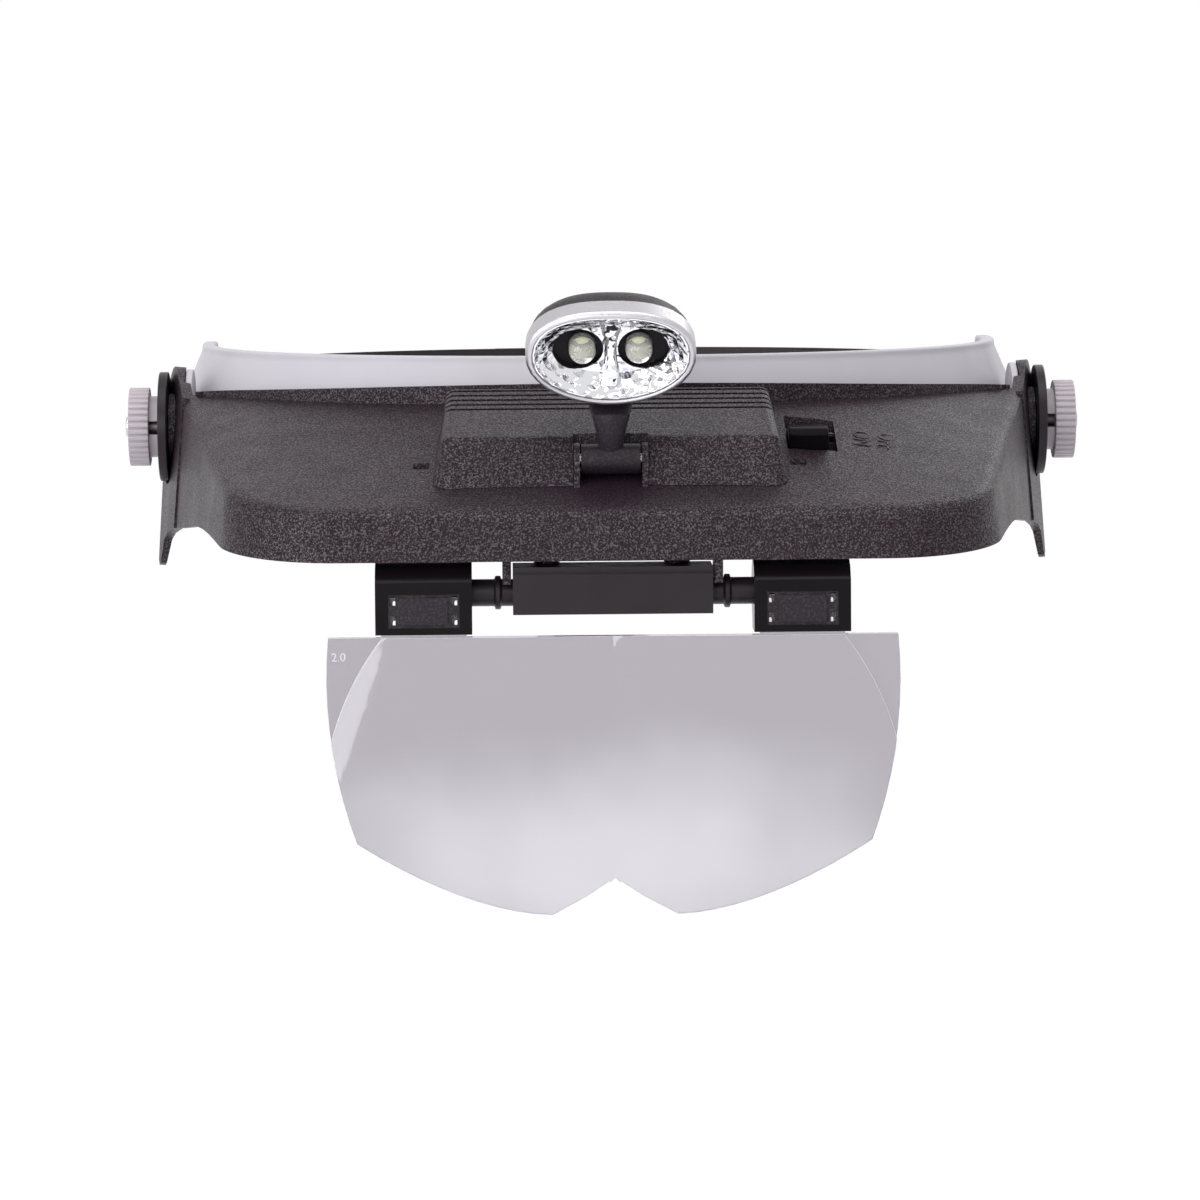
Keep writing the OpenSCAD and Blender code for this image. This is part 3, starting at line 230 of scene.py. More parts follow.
@dataclass(frozen=True)
class Finish:
    """What a surface is made of: one even colour and gloss, to which a kind of finish adds."""

    name: str
    colour: str
    roughness: float

    def build(self) -> Material:
        """Makes the material from the base values and the pattern of its kind.

        Returns:
            The material.
        """
        material = bpy.data.materials.new(self.name)
        material.use_nodes = True
        tree = material.node_tree
        place = add_node(tree, "ShaderNodeTexCoord").outputs["Object"]
        draft = Draft(tree, tree.nodes["Principled BSDF"], place)
        draft.surface({"Base Color": linear(self.colour), "Roughness": self.roughness})
        self.dress(draft)
        return material

    def dress(self, draft: Draft) -> None:
        """Adds the pattern of the kind of finish, which is none here."""


@dataclass(frozen=True)
class MouldedPlastic(Finish):
    """Injection-moulded plastic: the mould's grain, and slow changes of shade and gloss."""

    shade: str
    grain: float
    depth: float
    uneven: float = 0.06
    blotch: float = 9.0
    specular: float = 0.5
    glints: float = 0.0

    def dress(self, draft: Draft) -> None:
        """Adds slow noise to colour and roughness, and the grain as a fine bump with glints.

        Args:
            draft: The material being made.
        """
        slow = draft.noise(self.blotch, detail=3)
        grain = draft.noise(self.grain, detail=2, roughness=0.6)
        draft.blend(slow, self.colour, self.shade)
        draft.bump(grain, self.depth)
        draft.surface({
            "Roughness": draft.ramp(
                slow, NOISE_SPAN, self.roughness - self.uneven, self.roughness + self.uneven),
            "Specular IOR Level": draft.ramp(
                grain, PEAK_SPAN, self.specular, self.specular + self.glints)})


@dataclass(frozen=True)
class BrightMetal(Finish):
    """Metal, or plastic coated with it, with the fine texture that its making left."""

    texture: float
    depth: float
    smoother: float = 0.7
    rougher: float = 1.4

    def dress(self, draft: Draft) -> None:
        """Makes it metallic, with fine noise as bump and as changes of gloss.

        Args:
            draft: The material being made.
        """
        noise = draft.noise(self.texture, detail=3)
        draft.bump(noise, self.depth)
        draft.surface({
            "Metallic": 1.0,
            "Roughness": draft.ramp(noise, NOISE_SPAN, self.roughness * self.smoother,
                                    self.roughness * self.rougher)})


@dataclass(frozen=True)
class FacetedMirror(Finish):
    """Metallised plastic moulded in small facets, which scatter the diodes' light."""

    facet: float
    depth: float
    smoothness: float = 0.25

    def dress(self, draft: Draft) -> None:
        """Makes it metallic, and raises each cell of a Voronoi pattern towards its rim.

        Args:
            draft: The material being made.
        """
        cells = add_node(draft.tree, "ShaderNodeTexVoronoi", {"feature": "SMOOTH_F1"}, {
            "Vector": draft.place, "Scale": 1 / (self.facet * MM),
            "Smoothness": self.smoothness})
        draft.bump(cells.outputs["Distance"], self.depth)
        draft.surface({"Metallic": 1.0})


@dataclass(frozen=True)
class ClearPlastic(Finish):
    """Clear moulded plastic with a trace of haze, and painted light and shade in its tint: lighter
    in a pool round one point, darker outside it.
    """

    lit_colour: str
    light_pool: tuple[float, float]
    reach: tuple[float, float]
    ior: float
    clearness: float
    fall: tuple[float, float] = (0.5, 1.6)
    waver: float = 0.7
    waver_size: float = 24.0

    def dress(self, draft: Draft) -> None:
        """Makes it transmit light, tinted from a lighter colour in the pool to a darker one outside
        it: painted light and shade.

        The pool is an ellipse in the XZ plane: the distance from its middle, after each axis
        is divided by its reach, plus slow noise times the waver, changes the tint smoothly
        between the two values of the fall; the waver gives the pool's edge soft painted shadows.

        Args:
            draft: The material being made.
        """
        (x, z), (rx, rz) = self.light_pool, self.reach
        scaled = add_node(draft.tree, "ShaderNodeMapping", {"vector_type": "POINT"}, {
            "Vector": draft.place, "Location": (-x / rx, 0, -z / rz),
            "Scale": (1 / (rx * MM), 0, 1 / (rz * MM))})
        off = add_node(draft.tree, "ShaderNodeVectorMath", {"operation": "LENGTH"}, {
            0: scaled.outputs["Vector"]})
        wave = add_node(draft.tree, "ShaderNodeMath", {"operation": "MULTIPLY_ADD"}, {
            0: draft.noise(self.waver_size, detail=2), 1: self.waver, 2: off.outputs["Value"]})
        # Painted light and shade: the tint is lighter inside the pool and darker outside it
        tint = add_node(
            draft.tree, "ShaderNodeMapRange", {"interpolation_type": "SMOOTHSTEP"}, {
                "Value": wave.outputs["Value"], "From Min": self.fall[0],
                "From Max": self.fall[1]})
        draft.blend(tint.outputs["Result"], self.lit_colour, self.colour)
        draft.surface({"Transmission Weight": self.clearness, "IOR": self.ior})


@dataclass(frozen=True)
class FrostedEdge(Finish):
    """Rough edge of a clear plate, with a painted glow that stands in for the light that runs
    inside the plate and comes out at its edge.
    """

    glow: float
    clearness: float
    spots: float = 0.8
    dimmest: float = 0.6

    def dress(self, draft: Draft) -> None:
        """Adds a weak even painted glow, less where fine noise stands for a rougher spot.

        Args:
            draft: The material being made.
        """
        noise = draft.noise(self.spots, detail=2)
        draft.surface({
            "Transmission Weight": self.clearness, "Emission Color": linear(self.colour),
            "Emission Strength": draft.ramp(
                noise, NOISE_SPAN, self.glow * self.dimmest, self.glow)})


@dataclass(frozen=True)
class WovenCloth(Finish):
    """Plain weave of matt yarn, on the piece's own UV map, which is in millimetres."""

    gap_colour: str
    thread: float
    depth: float
    sheen: float = 0.25

    def dress(self, draft: Draft) -> None:
        """Adds threads both ways, each a rounded ridge, over and under by turns.

        The height is the product of two sines, one along each side of the map, whose half
        wave is one thread.

        Args:
            draft: The material being made.
        """
        def math_node(operation: str, *values: object) -> NodeSocket:
            """Works out one sum on its values."""
            return add_node(draft.tree, "ShaderNodeMath", {"operation": operation},
                            dict(enumerate(values))).outputs[0]

        uv = add_node(draft.tree, "ShaderNodeTexCoord").outputs["UV"]
        way = add_node(draft.tree, "ShaderNodeSeparateXYZ", inputs={"Vector": uv})
        turns = [math_node("SINE", math_node(
            "MULTIPLY", way.outputs[axis], math.pi / self.thread)) for axis in ("X", "Y")]
        woven = math_node("MULTIPLY", *turns)
        draft.blend(math_node("ABSOLUTE", woven), self.gap_colour, self.colour)
        draft.bump(woven, self.depth)
        draft.surface({"Sheen Weight": self.sheen})


class Finishes:
    """The finishes of the object, made once each."""

    def __init__(self) -> None:
        """Makes every material."""
        # ABS from a spark-eroded mould: sandy and dull, with small glints on a face that
        # mirrors a lamp. The grain is drawn a little coarser than the real 0.25 mm.
        self.grained_abs = MouldedPlastic(
            "grained_black_abs", "#281d25", 0.4, "#20181e", grain=0.34, depth=0.13,
            uneven=0.04, specular=0.06, glints=0.8).build()
        # ABS of the lamp's shells: a fine matt grain with an even sheen
        self.satin_abs = MouldedPlastic(
            "satin_black_abs", "#241e24", 0.45, "#1f1a20", grain=0.5, depth=0.04,
            specular=0.15, glints=0.2).build()
        # The same ABS from a polished mould: darker, with soft reflections
        self.smooth_abs = MouldedPlastic(
            "smooth_black_abs", "#1d171c", 0.36, "#221b20", grain=1.4, depth=0.006,
            specular=0.2).build()
        # Glossy ABS of the clips and the switch button: near black, with sharp highlights
        self.gloss_abs = MouldedPlastic(
            "gloss_black_abs", "#0e0a0d", 0.2, "#120e11", grain=2.5, depth=0.006,
            uneven=0.03, specular=0.1).build()
        # Flexible PVC, extruded and wiped smooth: an even sheen
        self.band_pvc = MouldedPlastic(
            "pale_grey_pvc", "#b2afb6", 0.46, "#aba8af", grain=0.7, depth=0.004,
            specular=0.3).build()
        # Polypropylene strap, moulded with a fine matt face
        self.strap_plastic = MouldedPlastic(
            "black_polypropylene", "#251f22", 0.45, "#201a1d", grain=0.6, depth=0.01,
            specular=0.25).build()
        # Nylon knob, unpainted, slightly waxy
        self.knob_nylon = MouldedPlastic(
            "pale_grey_nylon", "#aaa2a9", 0.42, "#a1999f", grain=0.8, depth=0.006,
            specular=0.35).build()
        # Acetal gear, milky white
        self.gear_acetal = MouldedPlastic(
            "milky_acetal", "#dcd8cf", 0.38, "#d2cec4", grain=0.6, depth=0.004).build()
        # Nickel-plated steel, turned
        self.steel = BrightMetal(
            "nickel_plated_steel", "#c3c1c0", 0.28, texture=0.3, depth=0.003).build()
        # Blackened steel bush inside a side knob
        self.dark_steel = BrightMetal(
            "blackened_steel", "#5b5659", 0.35, texture=0.3, depth=0.003).build()
        # Satin silver coating on the lamp's rim
        self.satin_silver = BrightMetal(
            "satin_silver_coat", "#bdbabf", 0.38, texture=0.5, depth=0.002).build()
        # Vacuum-metallised reflector
        self.mirror = FacetedMirror(
            "metallised_reflector", "#dfdfe3", 0.06, facet=1.9, depth=0.6).build()
        # Clear acrylic of the lens plate, with painted shade and light in its tint: grey for the
        # shaded backdrop seen through it, and lighter in a pool low in the middle for the lit table
        # seen through it
        self.acrylic = ClearPlastic(
            "clear_acrylic", "#b5b0b8", 0.03, "#dddbe1", light_pool=(0.0, -77.0),
            reach=(62.0, 24.0), ior=1.49, clearness=0.9).build()
        # Edges of that plate, left rough by the mould, with a painted glow for the light that they
        # gather from inside it
        self.frosted_glow = FrostedEdge(
            "frosted_acrylic", "#dcd9e1", 0.45, glow=0.12, clearness=0.4).build()
        # Its snap nibs, rougher still, with a stronger painted glow so that they show white in the
        # clips' shaded windows
        self.nib = FrostedEdge(
            "frosted_acrylic_nib", "#edebf0", 0.5, glow=0.55, clearness=0.0).build()
        # Water-clear epoxy of the diodes
        self.epoxy = ClearPlastic(
            "clear_epoxy", "#fbfbf8", 0.03, "#fefefc", light_pool=(0.0, 16.0), reach=(20.0, 20.0),
            ior=1.54, clearness=0.75).build()
        # Yellow phosphor over the diode's die
        self.phosphor = MouldedPlastic(
            "yellow_phosphor", "#f0eebc", 0.5, "#e9e6a8", grain=0.2, depth=0.01).build()
        # Green solder mask on glass fibre
        self.solder_mask = MouldedPlastic(
            "green_solder_mask", "#2c5c3b", 0.3, "#275335", grain=0.6, depth=0.01).build()
        # Plastic sleeve of a battery cell
        self.cell_sleeve = MouldedPlastic(
            "blue_cell_sleeve", "#36619a", 0.3, "#305a91", grain=2.0, depth=0.004).build()
        # Nylon cloth over foam
        self.cloth = WovenCloth(
            "grey_nylon_cloth", "#6f6d74", 0.85, "#4a484e", thread=0.9, depth=0.12).build()


def read(
    items: bpy.types.bpy_prop_collection, name: str, width: int = 1, kind: type = np.float64
) -> np.ndarray:
    """Reads one property of all of a mesh's vertices, corners or faces.

    Args:
        items: The vertices, corners or faces.
        name: The property's name.
        width: How many numbers it has.
        kind: The numbers' type.

    Returns:
        The numbers, in one row an item where there are several.
    """
    values = np.empty(len(items) * width, kind)
    items.foreach_get(name, values)
    return values.reshape(-1, width) if width > 1 else values


def unit(rows: np.ndarray) -> np.ndarray:
    """Brings each row to a length of 1."""
    return rows / np.maximum(np.linalg.norm(rows, axis=1, keepdims=True), TINY)


def new_object(name: str, mesh: Mesh, material: Material) -> Object:
    """Links a mesh into the scene.

    Args:
        name: The object's name.
        mesh: Its mesh.
        material: Its only material.

    Returns:
        The object.
    """
    mesh.materials.clear()
    mesh.materials.append(material)
    piece = bpy.data.objects.new(name, mesh)
    bpy.context.scene.collection.objects.link(piece)
    return piece


def mesh_of(name: str, points: np.ndarray, faces: list[list[int]]) -> Mesh:
    """Makes a smooth-shaded mesh.

    Args:
        name: The mesh's name.
        points: Its corners in millimetres, one row each.
        faces: The corner numbers of each face.

    Returns:
        The mesh, in metres.
    """
    mesh = bpy.data.meshes.new(name)
    mesh.from_pydata((points * MM).tolist(), [], faces)
    mesh.shade_smooth()
    return mesh


def tube_mesh(name: str, rings: np.ndarray, crease: float | None = None) -> Mesh:
    """Joins rows of closed rings into a solid: quads between rings, one face on each end.

    Args:
        name: The mesh's name.
        rings: Corners in millimetres, shaped rings by corners by 3.
        crease: Angle in degrees above which an edge is sharp, where any is.

    Returns:
        The mesh, with its faces turned outwards.
    """
    n, m = rings.shape[:2]
    i, j = np.meshgrid(np.arange(n - 1), np.arange(m), indexing="ij")
    k = (j + 1) % m
    quads = np.stack([i * m + j, i * m + k, (i + 1) * m + k, (i + 1) * m + j], -1)
    ends = [list(range(m))[::-1], list(range((n - 1) * m, n * m))]
    mesh = mesh_of(name, rings.reshape(-1, 3), quads.reshape(-1, 4).tolist() + ends)
    work = bmesh.new()
    work.from_mesh(mesh)
    bmesh.ops.recalc_face_normals(work, faces=work.faces)
    work.to_mesh(mesh)
    work.free()
    if crease:
        mesh.set_sharp_from_angle(angle=math.radians(crease))
    return mesh


def word_mesh(name: str, word: str, height: float, depth: float) -> Mesh:
    """Makes raised letters, centred on the origin and facing +Z.

    Args:
        name: The mesh's name.
        word: The letters.
        height: The letters' size.
        depth: How far they stand out.

    Returns:
        The mesh, in metres.
    """
    text = bpy.data.curves.new(name, "FONT")
    text.body = word
    text.size = height * MM
    text.extrude = depth * MM
    text.align_x, text.align_y = "CENTER", "CENTER"
    shape = bpy.data.objects.new(name, text)
    bpy.context.scene.collection.objects.link(shape)
    bpy.context.view_layer.update()
    graph = bpy.context.evaluated_depsgraph_get()
    mesh = bpy.data.meshes.new_from_object(shape.evaluated_get(graph))
    mesh.name = name
    bpy.data.objects.remove(shape)
    return mesh


def spread_normals(mesh: Mesh, rounds: int, crease: float, guide: Guide | None = None) -> None:
    """Shades a triangle mesh as one curved surface between its creases.

    Each round, every face's normal becomes the mean of its own and those of the faces across
    its edges, weighted by area, where the two differ by less than half the crease. Each corner
    then gets the weighted mean of the faces round its point, within the whole crease.

    Args:
        mesh: A welded mesh of triangles.
        rounds: How many times the normals are spread.
        crease: Angle in degrees, above which an edge stays sharp.
        guide: The true normals of a surface at given points, in mm. They take the place of
            the corner normals that lie close to them.
    """
    keep, join, hold = (math.cos(math.radians(a)) for a in (crease, crease / 2, GUIDE_REACH))
    corner = read(mesh.loops, "vertex_index", kind=np.int32)
    flat, area = read(mesh.polygons, "normal", 3), read(mesh.polygons, "area")
    tri = corner.reshape(-1, 3)
    ends = np.sort(np.stack([tri, np.roll(tri, -1, 1)], -1).reshape(-1, 2), axis=1)
    key = ends[:, 0].astype(np.int64) * len(mesh.vertices) + ends[:, 1]
    order = np.argsort(key, kind="stable")
    twin = key[order][1:] == key[order][:-1]
    one, two = order[:-1][twin] // 3, order[1:][twin] // 3
    near = (flat[one] * flat[two]).sum(1) > join
    one, two = one[near], two[near]
    even = flat.copy()
    for _ in range(rounds):
        total = even * area[:, None]
        np.add.at(total, one, even[two] * area[two][:, None])
        np.add.at(total, two, even[one] * area[one][:, None])
        even = unit(total)
    face = np.repeat(np.arange(len(area)), 3)
    order = np.argsort(corner, kind="stable")
    result = even[face] * area[face][:, None]
    for shift in range(1, int(np.bincount(corner).max())):
        a, b = order[:-shift], order[shift:]
        same = (corner[a] == corner[b]) & ((flat[face[a]] * flat[face[b]]).sum(1) > keep)
        a, b = a[same], b[same]
        np.add.at(result, a, even[face[b]] * area[face[b]][:, None])
        np.add.at(result, b, even[face[a]] * area[face[a]][:, None])
    result = unit(result)
    if guide:
        true = guide(read(mesh.vertices, "co", 3)[corner] / MM)
        result = np.where(((true * result).sum(1) > hold)[:, None], true, result)
    mesh.normals_split_custom_set(result.tolist())


@dataclass(frozen=True)
class RoundedSkin:
    """How a CAD node is skinned: its facets shade as one surface and its edges are rounded.

    Points nearer than weld become one. Facets within flat degrees are joined, edges above
    crease are sharp, and those above bevel_from too are rounded with the radius. Where spread
    is set, the normals are spread that many rounds instead, and follow the guide.
    """

    radius: float
    crease: float = 32.0
    weld: float = 0.002
    flat: float = 0.4
    spread: int = 0
    guide: Guide | None = None
    bevel_from: float = 0.0

    def make(self, node: str, material: Material, edging: Material | None = None) -> Object:
        """Skins one node with the same shape, and hides the node.

        Args:
            node: The CAD node that the skin stands for.
            material: The skin's finish.
            edging: The finish of its rounded edges, where that differs.

        Returns:
            The skin, which rides on the node's body.
        """
        source = frame["nodes"][node]
        points = read(source.data.vertices, "co", 3, np.float32)
        corners = read(source.data.loops, "vertex_index", kind=np.int32)
        keys = np.round(points / (self.weld * MM)).astype(np.int64)
        _, first, index = np.unique(keys, axis=0, return_index=True, return_inverse=True)
        faces = index.reshape(-1)[corners].reshape(-1, 3)
        whole = (faces != np.roll(faces, 1, axis=1)).all(axis=1)
        mesh = mesh_of(f"{node}_skin", points[first] / MM, faces[whole].tolist())
        skin = new_object(f"{node}_skin", mesh, material)
        if self.spread:
            spread_normals(mesh, self.spread, self.crease, self.guide)
        else:
            self.round_edges(skin, edging)
        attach(skin, source["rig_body"])
        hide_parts(node)
        return skin

    def round_edges(self, skin: Object, edging: Material | None) -> None:
        """Joins a skin's coplanar facets, and rounds what edges are left.

        Args:
            skin: The skin.
            edging: The finish of the rounded edges, where that differs.
        """
        work = bmesh.new()
        work.from_mesh(skin.data)
        bmesh.ops.dissolve_limit(
            work, angle_limit=math.radians(self.flat), verts=work.verts, edges=work.edges)
        work.to_mesh(skin.data)
        work.free()
        skin.data.set_sharp_from_angle(angle=math.radians(self.crease))
        if self.radius > 0:
            edge = skin.modifiers.new("rounded_edges", "BEVEL")
            edge.width = self.radius * MM
            edge.segments = 2
            edge.limit_method = "ANGLE"
            edge.angle_limit = math.radians(max(self.crease, self.bevel_from))
            if edging:
                skin.data.materials.append(edging)
                edge.material = 1
        even = skin.modifiers.new("even_shading", "WEIGHTED_NORMAL")
        even.keep_sharp = True


def dress(material: Material, *nodes: str) -> None:
    """Gives CAD nodes that stay as they are their finish.

    Args:
        material: The finish.
        nodes: The nodes' names.
    """
    for node in nodes:
        mesh = frame["nodes"][node].data
        mesh.materials.clear()
        mesh.materials.append(material)
        log.info("%s dressed in %s", node, material.name)


def skin(look: RoundedSkin, material: Material, *nodes: str) -> None:
    """Skins CAD nodes in a finish.

    Args:
        look: How they are skinned.
        material: The finish.
        nodes: The nodes' names.
    """
    for node in nodes:
        piece = look.make(node, material)
        log.info("%s skinned in %s, %d faces", node, material.name, len(piece.data.polygons))


@dataclass
class SubAssembly:
    """A group of pieces that are built together, in the finishes of the object."""

    finishes: Finishes

    def build(self) -> None:
        """Builds the pieces, of which there are none here."""


@dataclass
class HeadRing(SubAssembly):
    """The brow band, its cushion, the rear straps and their rivets."""

    half_w: float = 85.6
    half_l: float = 97.0
    power: float = 2.3
    band_h: float = 30.5
    band_t: float = 2.0
    band_lean: float = 4.4
    band_wrap: float = 106.0
    band_round: float = 0.5
    band_crease: float = 50.0
    band_steps: int = 221
    lip_h: float = 1.2
    lip_out: float = 0.6
    narrow_from: float = 0.87
    narrow_end: float = 7.5
    pad_t: float = 7.0
    pad_h: float = 25.0
    pad_wrap: float = 48.0
    pad_edge: float = 1.6
    pad_seat: float = 2.3
    pad_narrow: float = 0.2
    pad_grid: tuple[int, int] = (241, 72)
    channels: tuple[float, ...] = (-30.0, -15.0, 0.0, 15.0, 30.0)
    channel_w: float = 1.3
    channel_depth: float = 0.45

    @property
    def bend(self) -> float:
        """Height at which the band's section starts to lean in."""
        return self.band_h / 6

    def ring(self, angle: np.ndarray, inset: np.ndarray, height: np.ndarray) -> np.ndarray:
        """Points of the squared oval |x/w|^p + |y/l|^p = 1, set in from its outside.

        Args:
            angle: Angle from the forehead, in degrees.
            inset: Distance inside the ring's outside.
            height: Height above the knob axis.

        Returns:
            The points, in the shape of the arguments with 3 added.
        """
        a, p = np.radians(angle), self.power
        w, l = self.half_w - inset, self.half_l - inset
        r = (np.abs(np.sin(a) / w) ** p + np.abs(np.cos(a) / l) ** p) ** (-1 / p)
        return np.stack([r * np.sin(a), -r * np.cos(a), height + 0 * r], -1)

    def band_section(self, s: np.ndarray) -> np.ndarray:
        """Works out the band's section: upright below, leaning in above, with a small lip.

        Its half height falls by the square of the share of the narrowed end that is passed.

        Args:
            s: Shares of the band's length.

        Returns:
            For each share eight corners, as inset and height.
        """
        half, bend = self.band_h / 2, self.bend
        slack = np.maximum(np.abs(2 * s - 1) - self.narrow_from, 0) / (1 - self.narrow_from)
        narrow = (half - self.narrow_end) * slack ** 2
        top, low, zero = half - narrow, narrow - half, 0 * s
        lean = self.band_lean * (top - bend) / (half - bend)
        t, lip, hem = self.band_t + zero, lean - self.lip_out, top - self.lip_h
        rows = ((t, low), (t, bend + zero), (t + lean, hem), (t + lean, top),
                (lip, top), (lip, hem), (zero, bend + zero), (zero, low))
        return np.stack([np.stack(row, -1) for row in rows], 1)

    @staticmethod
    def rounded(corners: np.ndarray, radius: float, steps: int = 4) -> np.ndarray:
        """Rounds each corner of closed outlines by a quadratic curve.

        A point of it is the corner, plus one arm times (1 - t) squared, plus the other times
        t squared; the arms run along the corner's two sides.

        Args:
            corners: Outlines by corners by 2.
            radius: The arms' length, which is less where a side is short.
            steps: Points on each rounding.

        Returns:
            Outlines by corners times steps by 2.
        """
        sides = [np.roll(corners, 1, 1) - corners, np.roll(corners, -1, 1) - corners]
        spans = [np.linalg.norm(side, axis=-1, keepdims=True) for side in sides]
        one, two = ((np.minimum(radius, 0.45 * span) / span * side)[:, :, None]
                    for side, span in zip(sides, spans))
        t = np.linspace(0, 1, steps)[None, None, :, None]
        curve = corners[:, :, None] + one * (1 - t) ** 2 + two * t ** 2
        return curve.reshape(len(corners), -1, 2)

    def band(self) -> None:
        """Sweeps the rounded section round the forehead as one continuous skin."""
        s = np.linspace(0, 1, self.band_steps)
        section = self.rounded(self.band_section(s), self.band_round)
        angle = (2 * s[:, None] - 1) * self.band_wrap
        rings = self.ring(angle, section[..., 0], section[..., 1])
        mesh = tube_mesh("brow_band_skin", rings, self.band_crease)
        self.stand_for("brow_band_skin", mesh, self.finishes.band_pvc, "brow_band")

    def cushion_rings(self) -> np.ndarray:
        """Works out the cushion: a flat back on the band and a crowned, channelled face.

        The crown is the sine of the angle round the section to the power 0.6, full in the
        middle of the cushion and falling off at its ends by a sine to the power 0.4; each
        sewn channel is a bell-shaped dip across it.

        Returns:
            The sections, one ring each.
        """
        s = np.linspace(0.004, 0.996, self.pad_grid[0])[:, None]
        v = np.linspace(0, 2 * np.pi, self.pad_grid[1], endpoint=False)[None, :]
        full = np.sin(np.pi * s) ** 0.4
        half = self.pad_h / 2 * (1 - self.pad_narrow + self.pad_narrow * full)
        height = -half * np.cos(v)
        face = np.clip(np.sin(v), 0, 1) ** 0.6
        angle = (2 * s - 1) * self.pad_wrap
        dips = sum(np.exp(-((angle - c) / self.channel_w) ** 2) for c in self.channels)
        top = self.band_h / 2 - self.lip_h
        lean = self.band_lean * np.maximum(height - self.bend, 0) / (top - self.bend)
        edge = self.pad_edge * np.where(np.sin(v) >= 0, 1, np.clip(1 + 3 * np.sin(v), 0, 1))
        crown = (self.pad_t - self.pad_edge) * full * face * (1 - self.channel_depth * dips)
        return self.ring(angle + 0 * v, self.pad_seat + lean + edge + crown, height)

    def cushion(self) -> None:
        """Makes the sewn cushion, with a UV map in millimetres along and round it.

        The map's two sides are the lengths walked along the crown's middle and round the
        middle section; where the section closes, the last column ends a full round on.
        """
        rings = self.cushion_rings()
        mesh = tube_mesh("forehead_cushion", rings)
        count, around_count = self.pad_grid
        along, around = (
            np.cumsum(np.r_[0, np.linalg.norm(np.diff(line, axis=0), axis=1)])
            for line in (rings[:, around_count // 4], rings[count // 2]))
        where = np.stack(np.meshgrid(along, around, indexing="ij"), -1).reshape(-1, 2)
        corner = read(mesh.loops, "vertex_index", kind=np.int32)
        spot = where[corner]
        quads = (len(mesh.polygons) - 2) * 4
        column = (corner[:quads] % around_count).reshape(-1, 4)
        seam = (np.ptp(column, axis=1) > 1)[:, None] & (column == 0)
        spot[:quads][seam.ravel(), 1] = around[-1] * around_count / (around_count - 1)
        mesh.uv_layers.new(name="weave").data.foreach_set("uv", spot.ravel())
        piece = self.stand_for("forehead_cushion", mesh, self.finishes.cloth, "forehead_pad")

    @staticmethod
    def stand_for(name: str, mesh: Mesh, material: Material, node: str) -> Object:
        """Puts a mesh in place of a CAD node of the head ring.

        Args:
            name: The new piece's name.
            mesh: Its mesh.
            material: Its finish.
            node: The CAD node that it replaces.

        Returns:
            The new piece.
        """
        piece = new_object(name, mesh, material)
        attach(piece, "headband")
        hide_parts(node)
        log.info("%s made, %d faces", name, len(mesh.polygons))
        return piece

    def build(self) -> None:
        """Makes the ring's pieces."""
        self.band()
        self.cushion()
        skin(RoundedSkin(0.2), self.finishes.strap_plastic, "strap_left", "strap_right")
        skin(RoundedSkin(0.2), self.finishes.band_pvc, "strap_rivets")


@dataclass
class SizeAdjuster(SubAssembly):
    """The housing at the nape, with its knob and pinion."""

    def build(self) -> None:
        """Rounds the housing's edges and dresses what is in it."""
        skin(RoundedSkin(0.4), self.finishes.grained_abs, "adjuster_housing", "adjuster_cover")
        skin(RoundedSkin(0.35), self.finishes.smooth_abs, "adjuster_knob")
        skin(RoundedSkin(0.05), self.finishes.gear_acetal, "adjuster_pinion")
        skin(RoundedSkin(0.15), self.finishes.steel, "adjuster_screws")


@dataclass
class SidePivots(SubAssembly):
    """What the hood turns on: pads, washers, bolts, discs and the two knobs."""

    def build(self) -> None:
        """Rounds the turned pieces' edges and dresses them."""
        skin(RoundedSkin(0.2), self.finishes.band_pvc, "pivot_pads")
        skin(RoundedSkin(0.2), self.finishes.smooth_abs, "saddle_washers", "friction_discs")
        skin(RoundedSkin(0.25), self.finishes.steel, "pivot_bolts")
        skin(RoundedSkin(0.12), self.finishes.knob_nylon, "knob_left", "knob_right")
        skin(RoundedSkin(0.1), self.finishes.dark_steel, "knob_insert_left", "knob_insert_right")


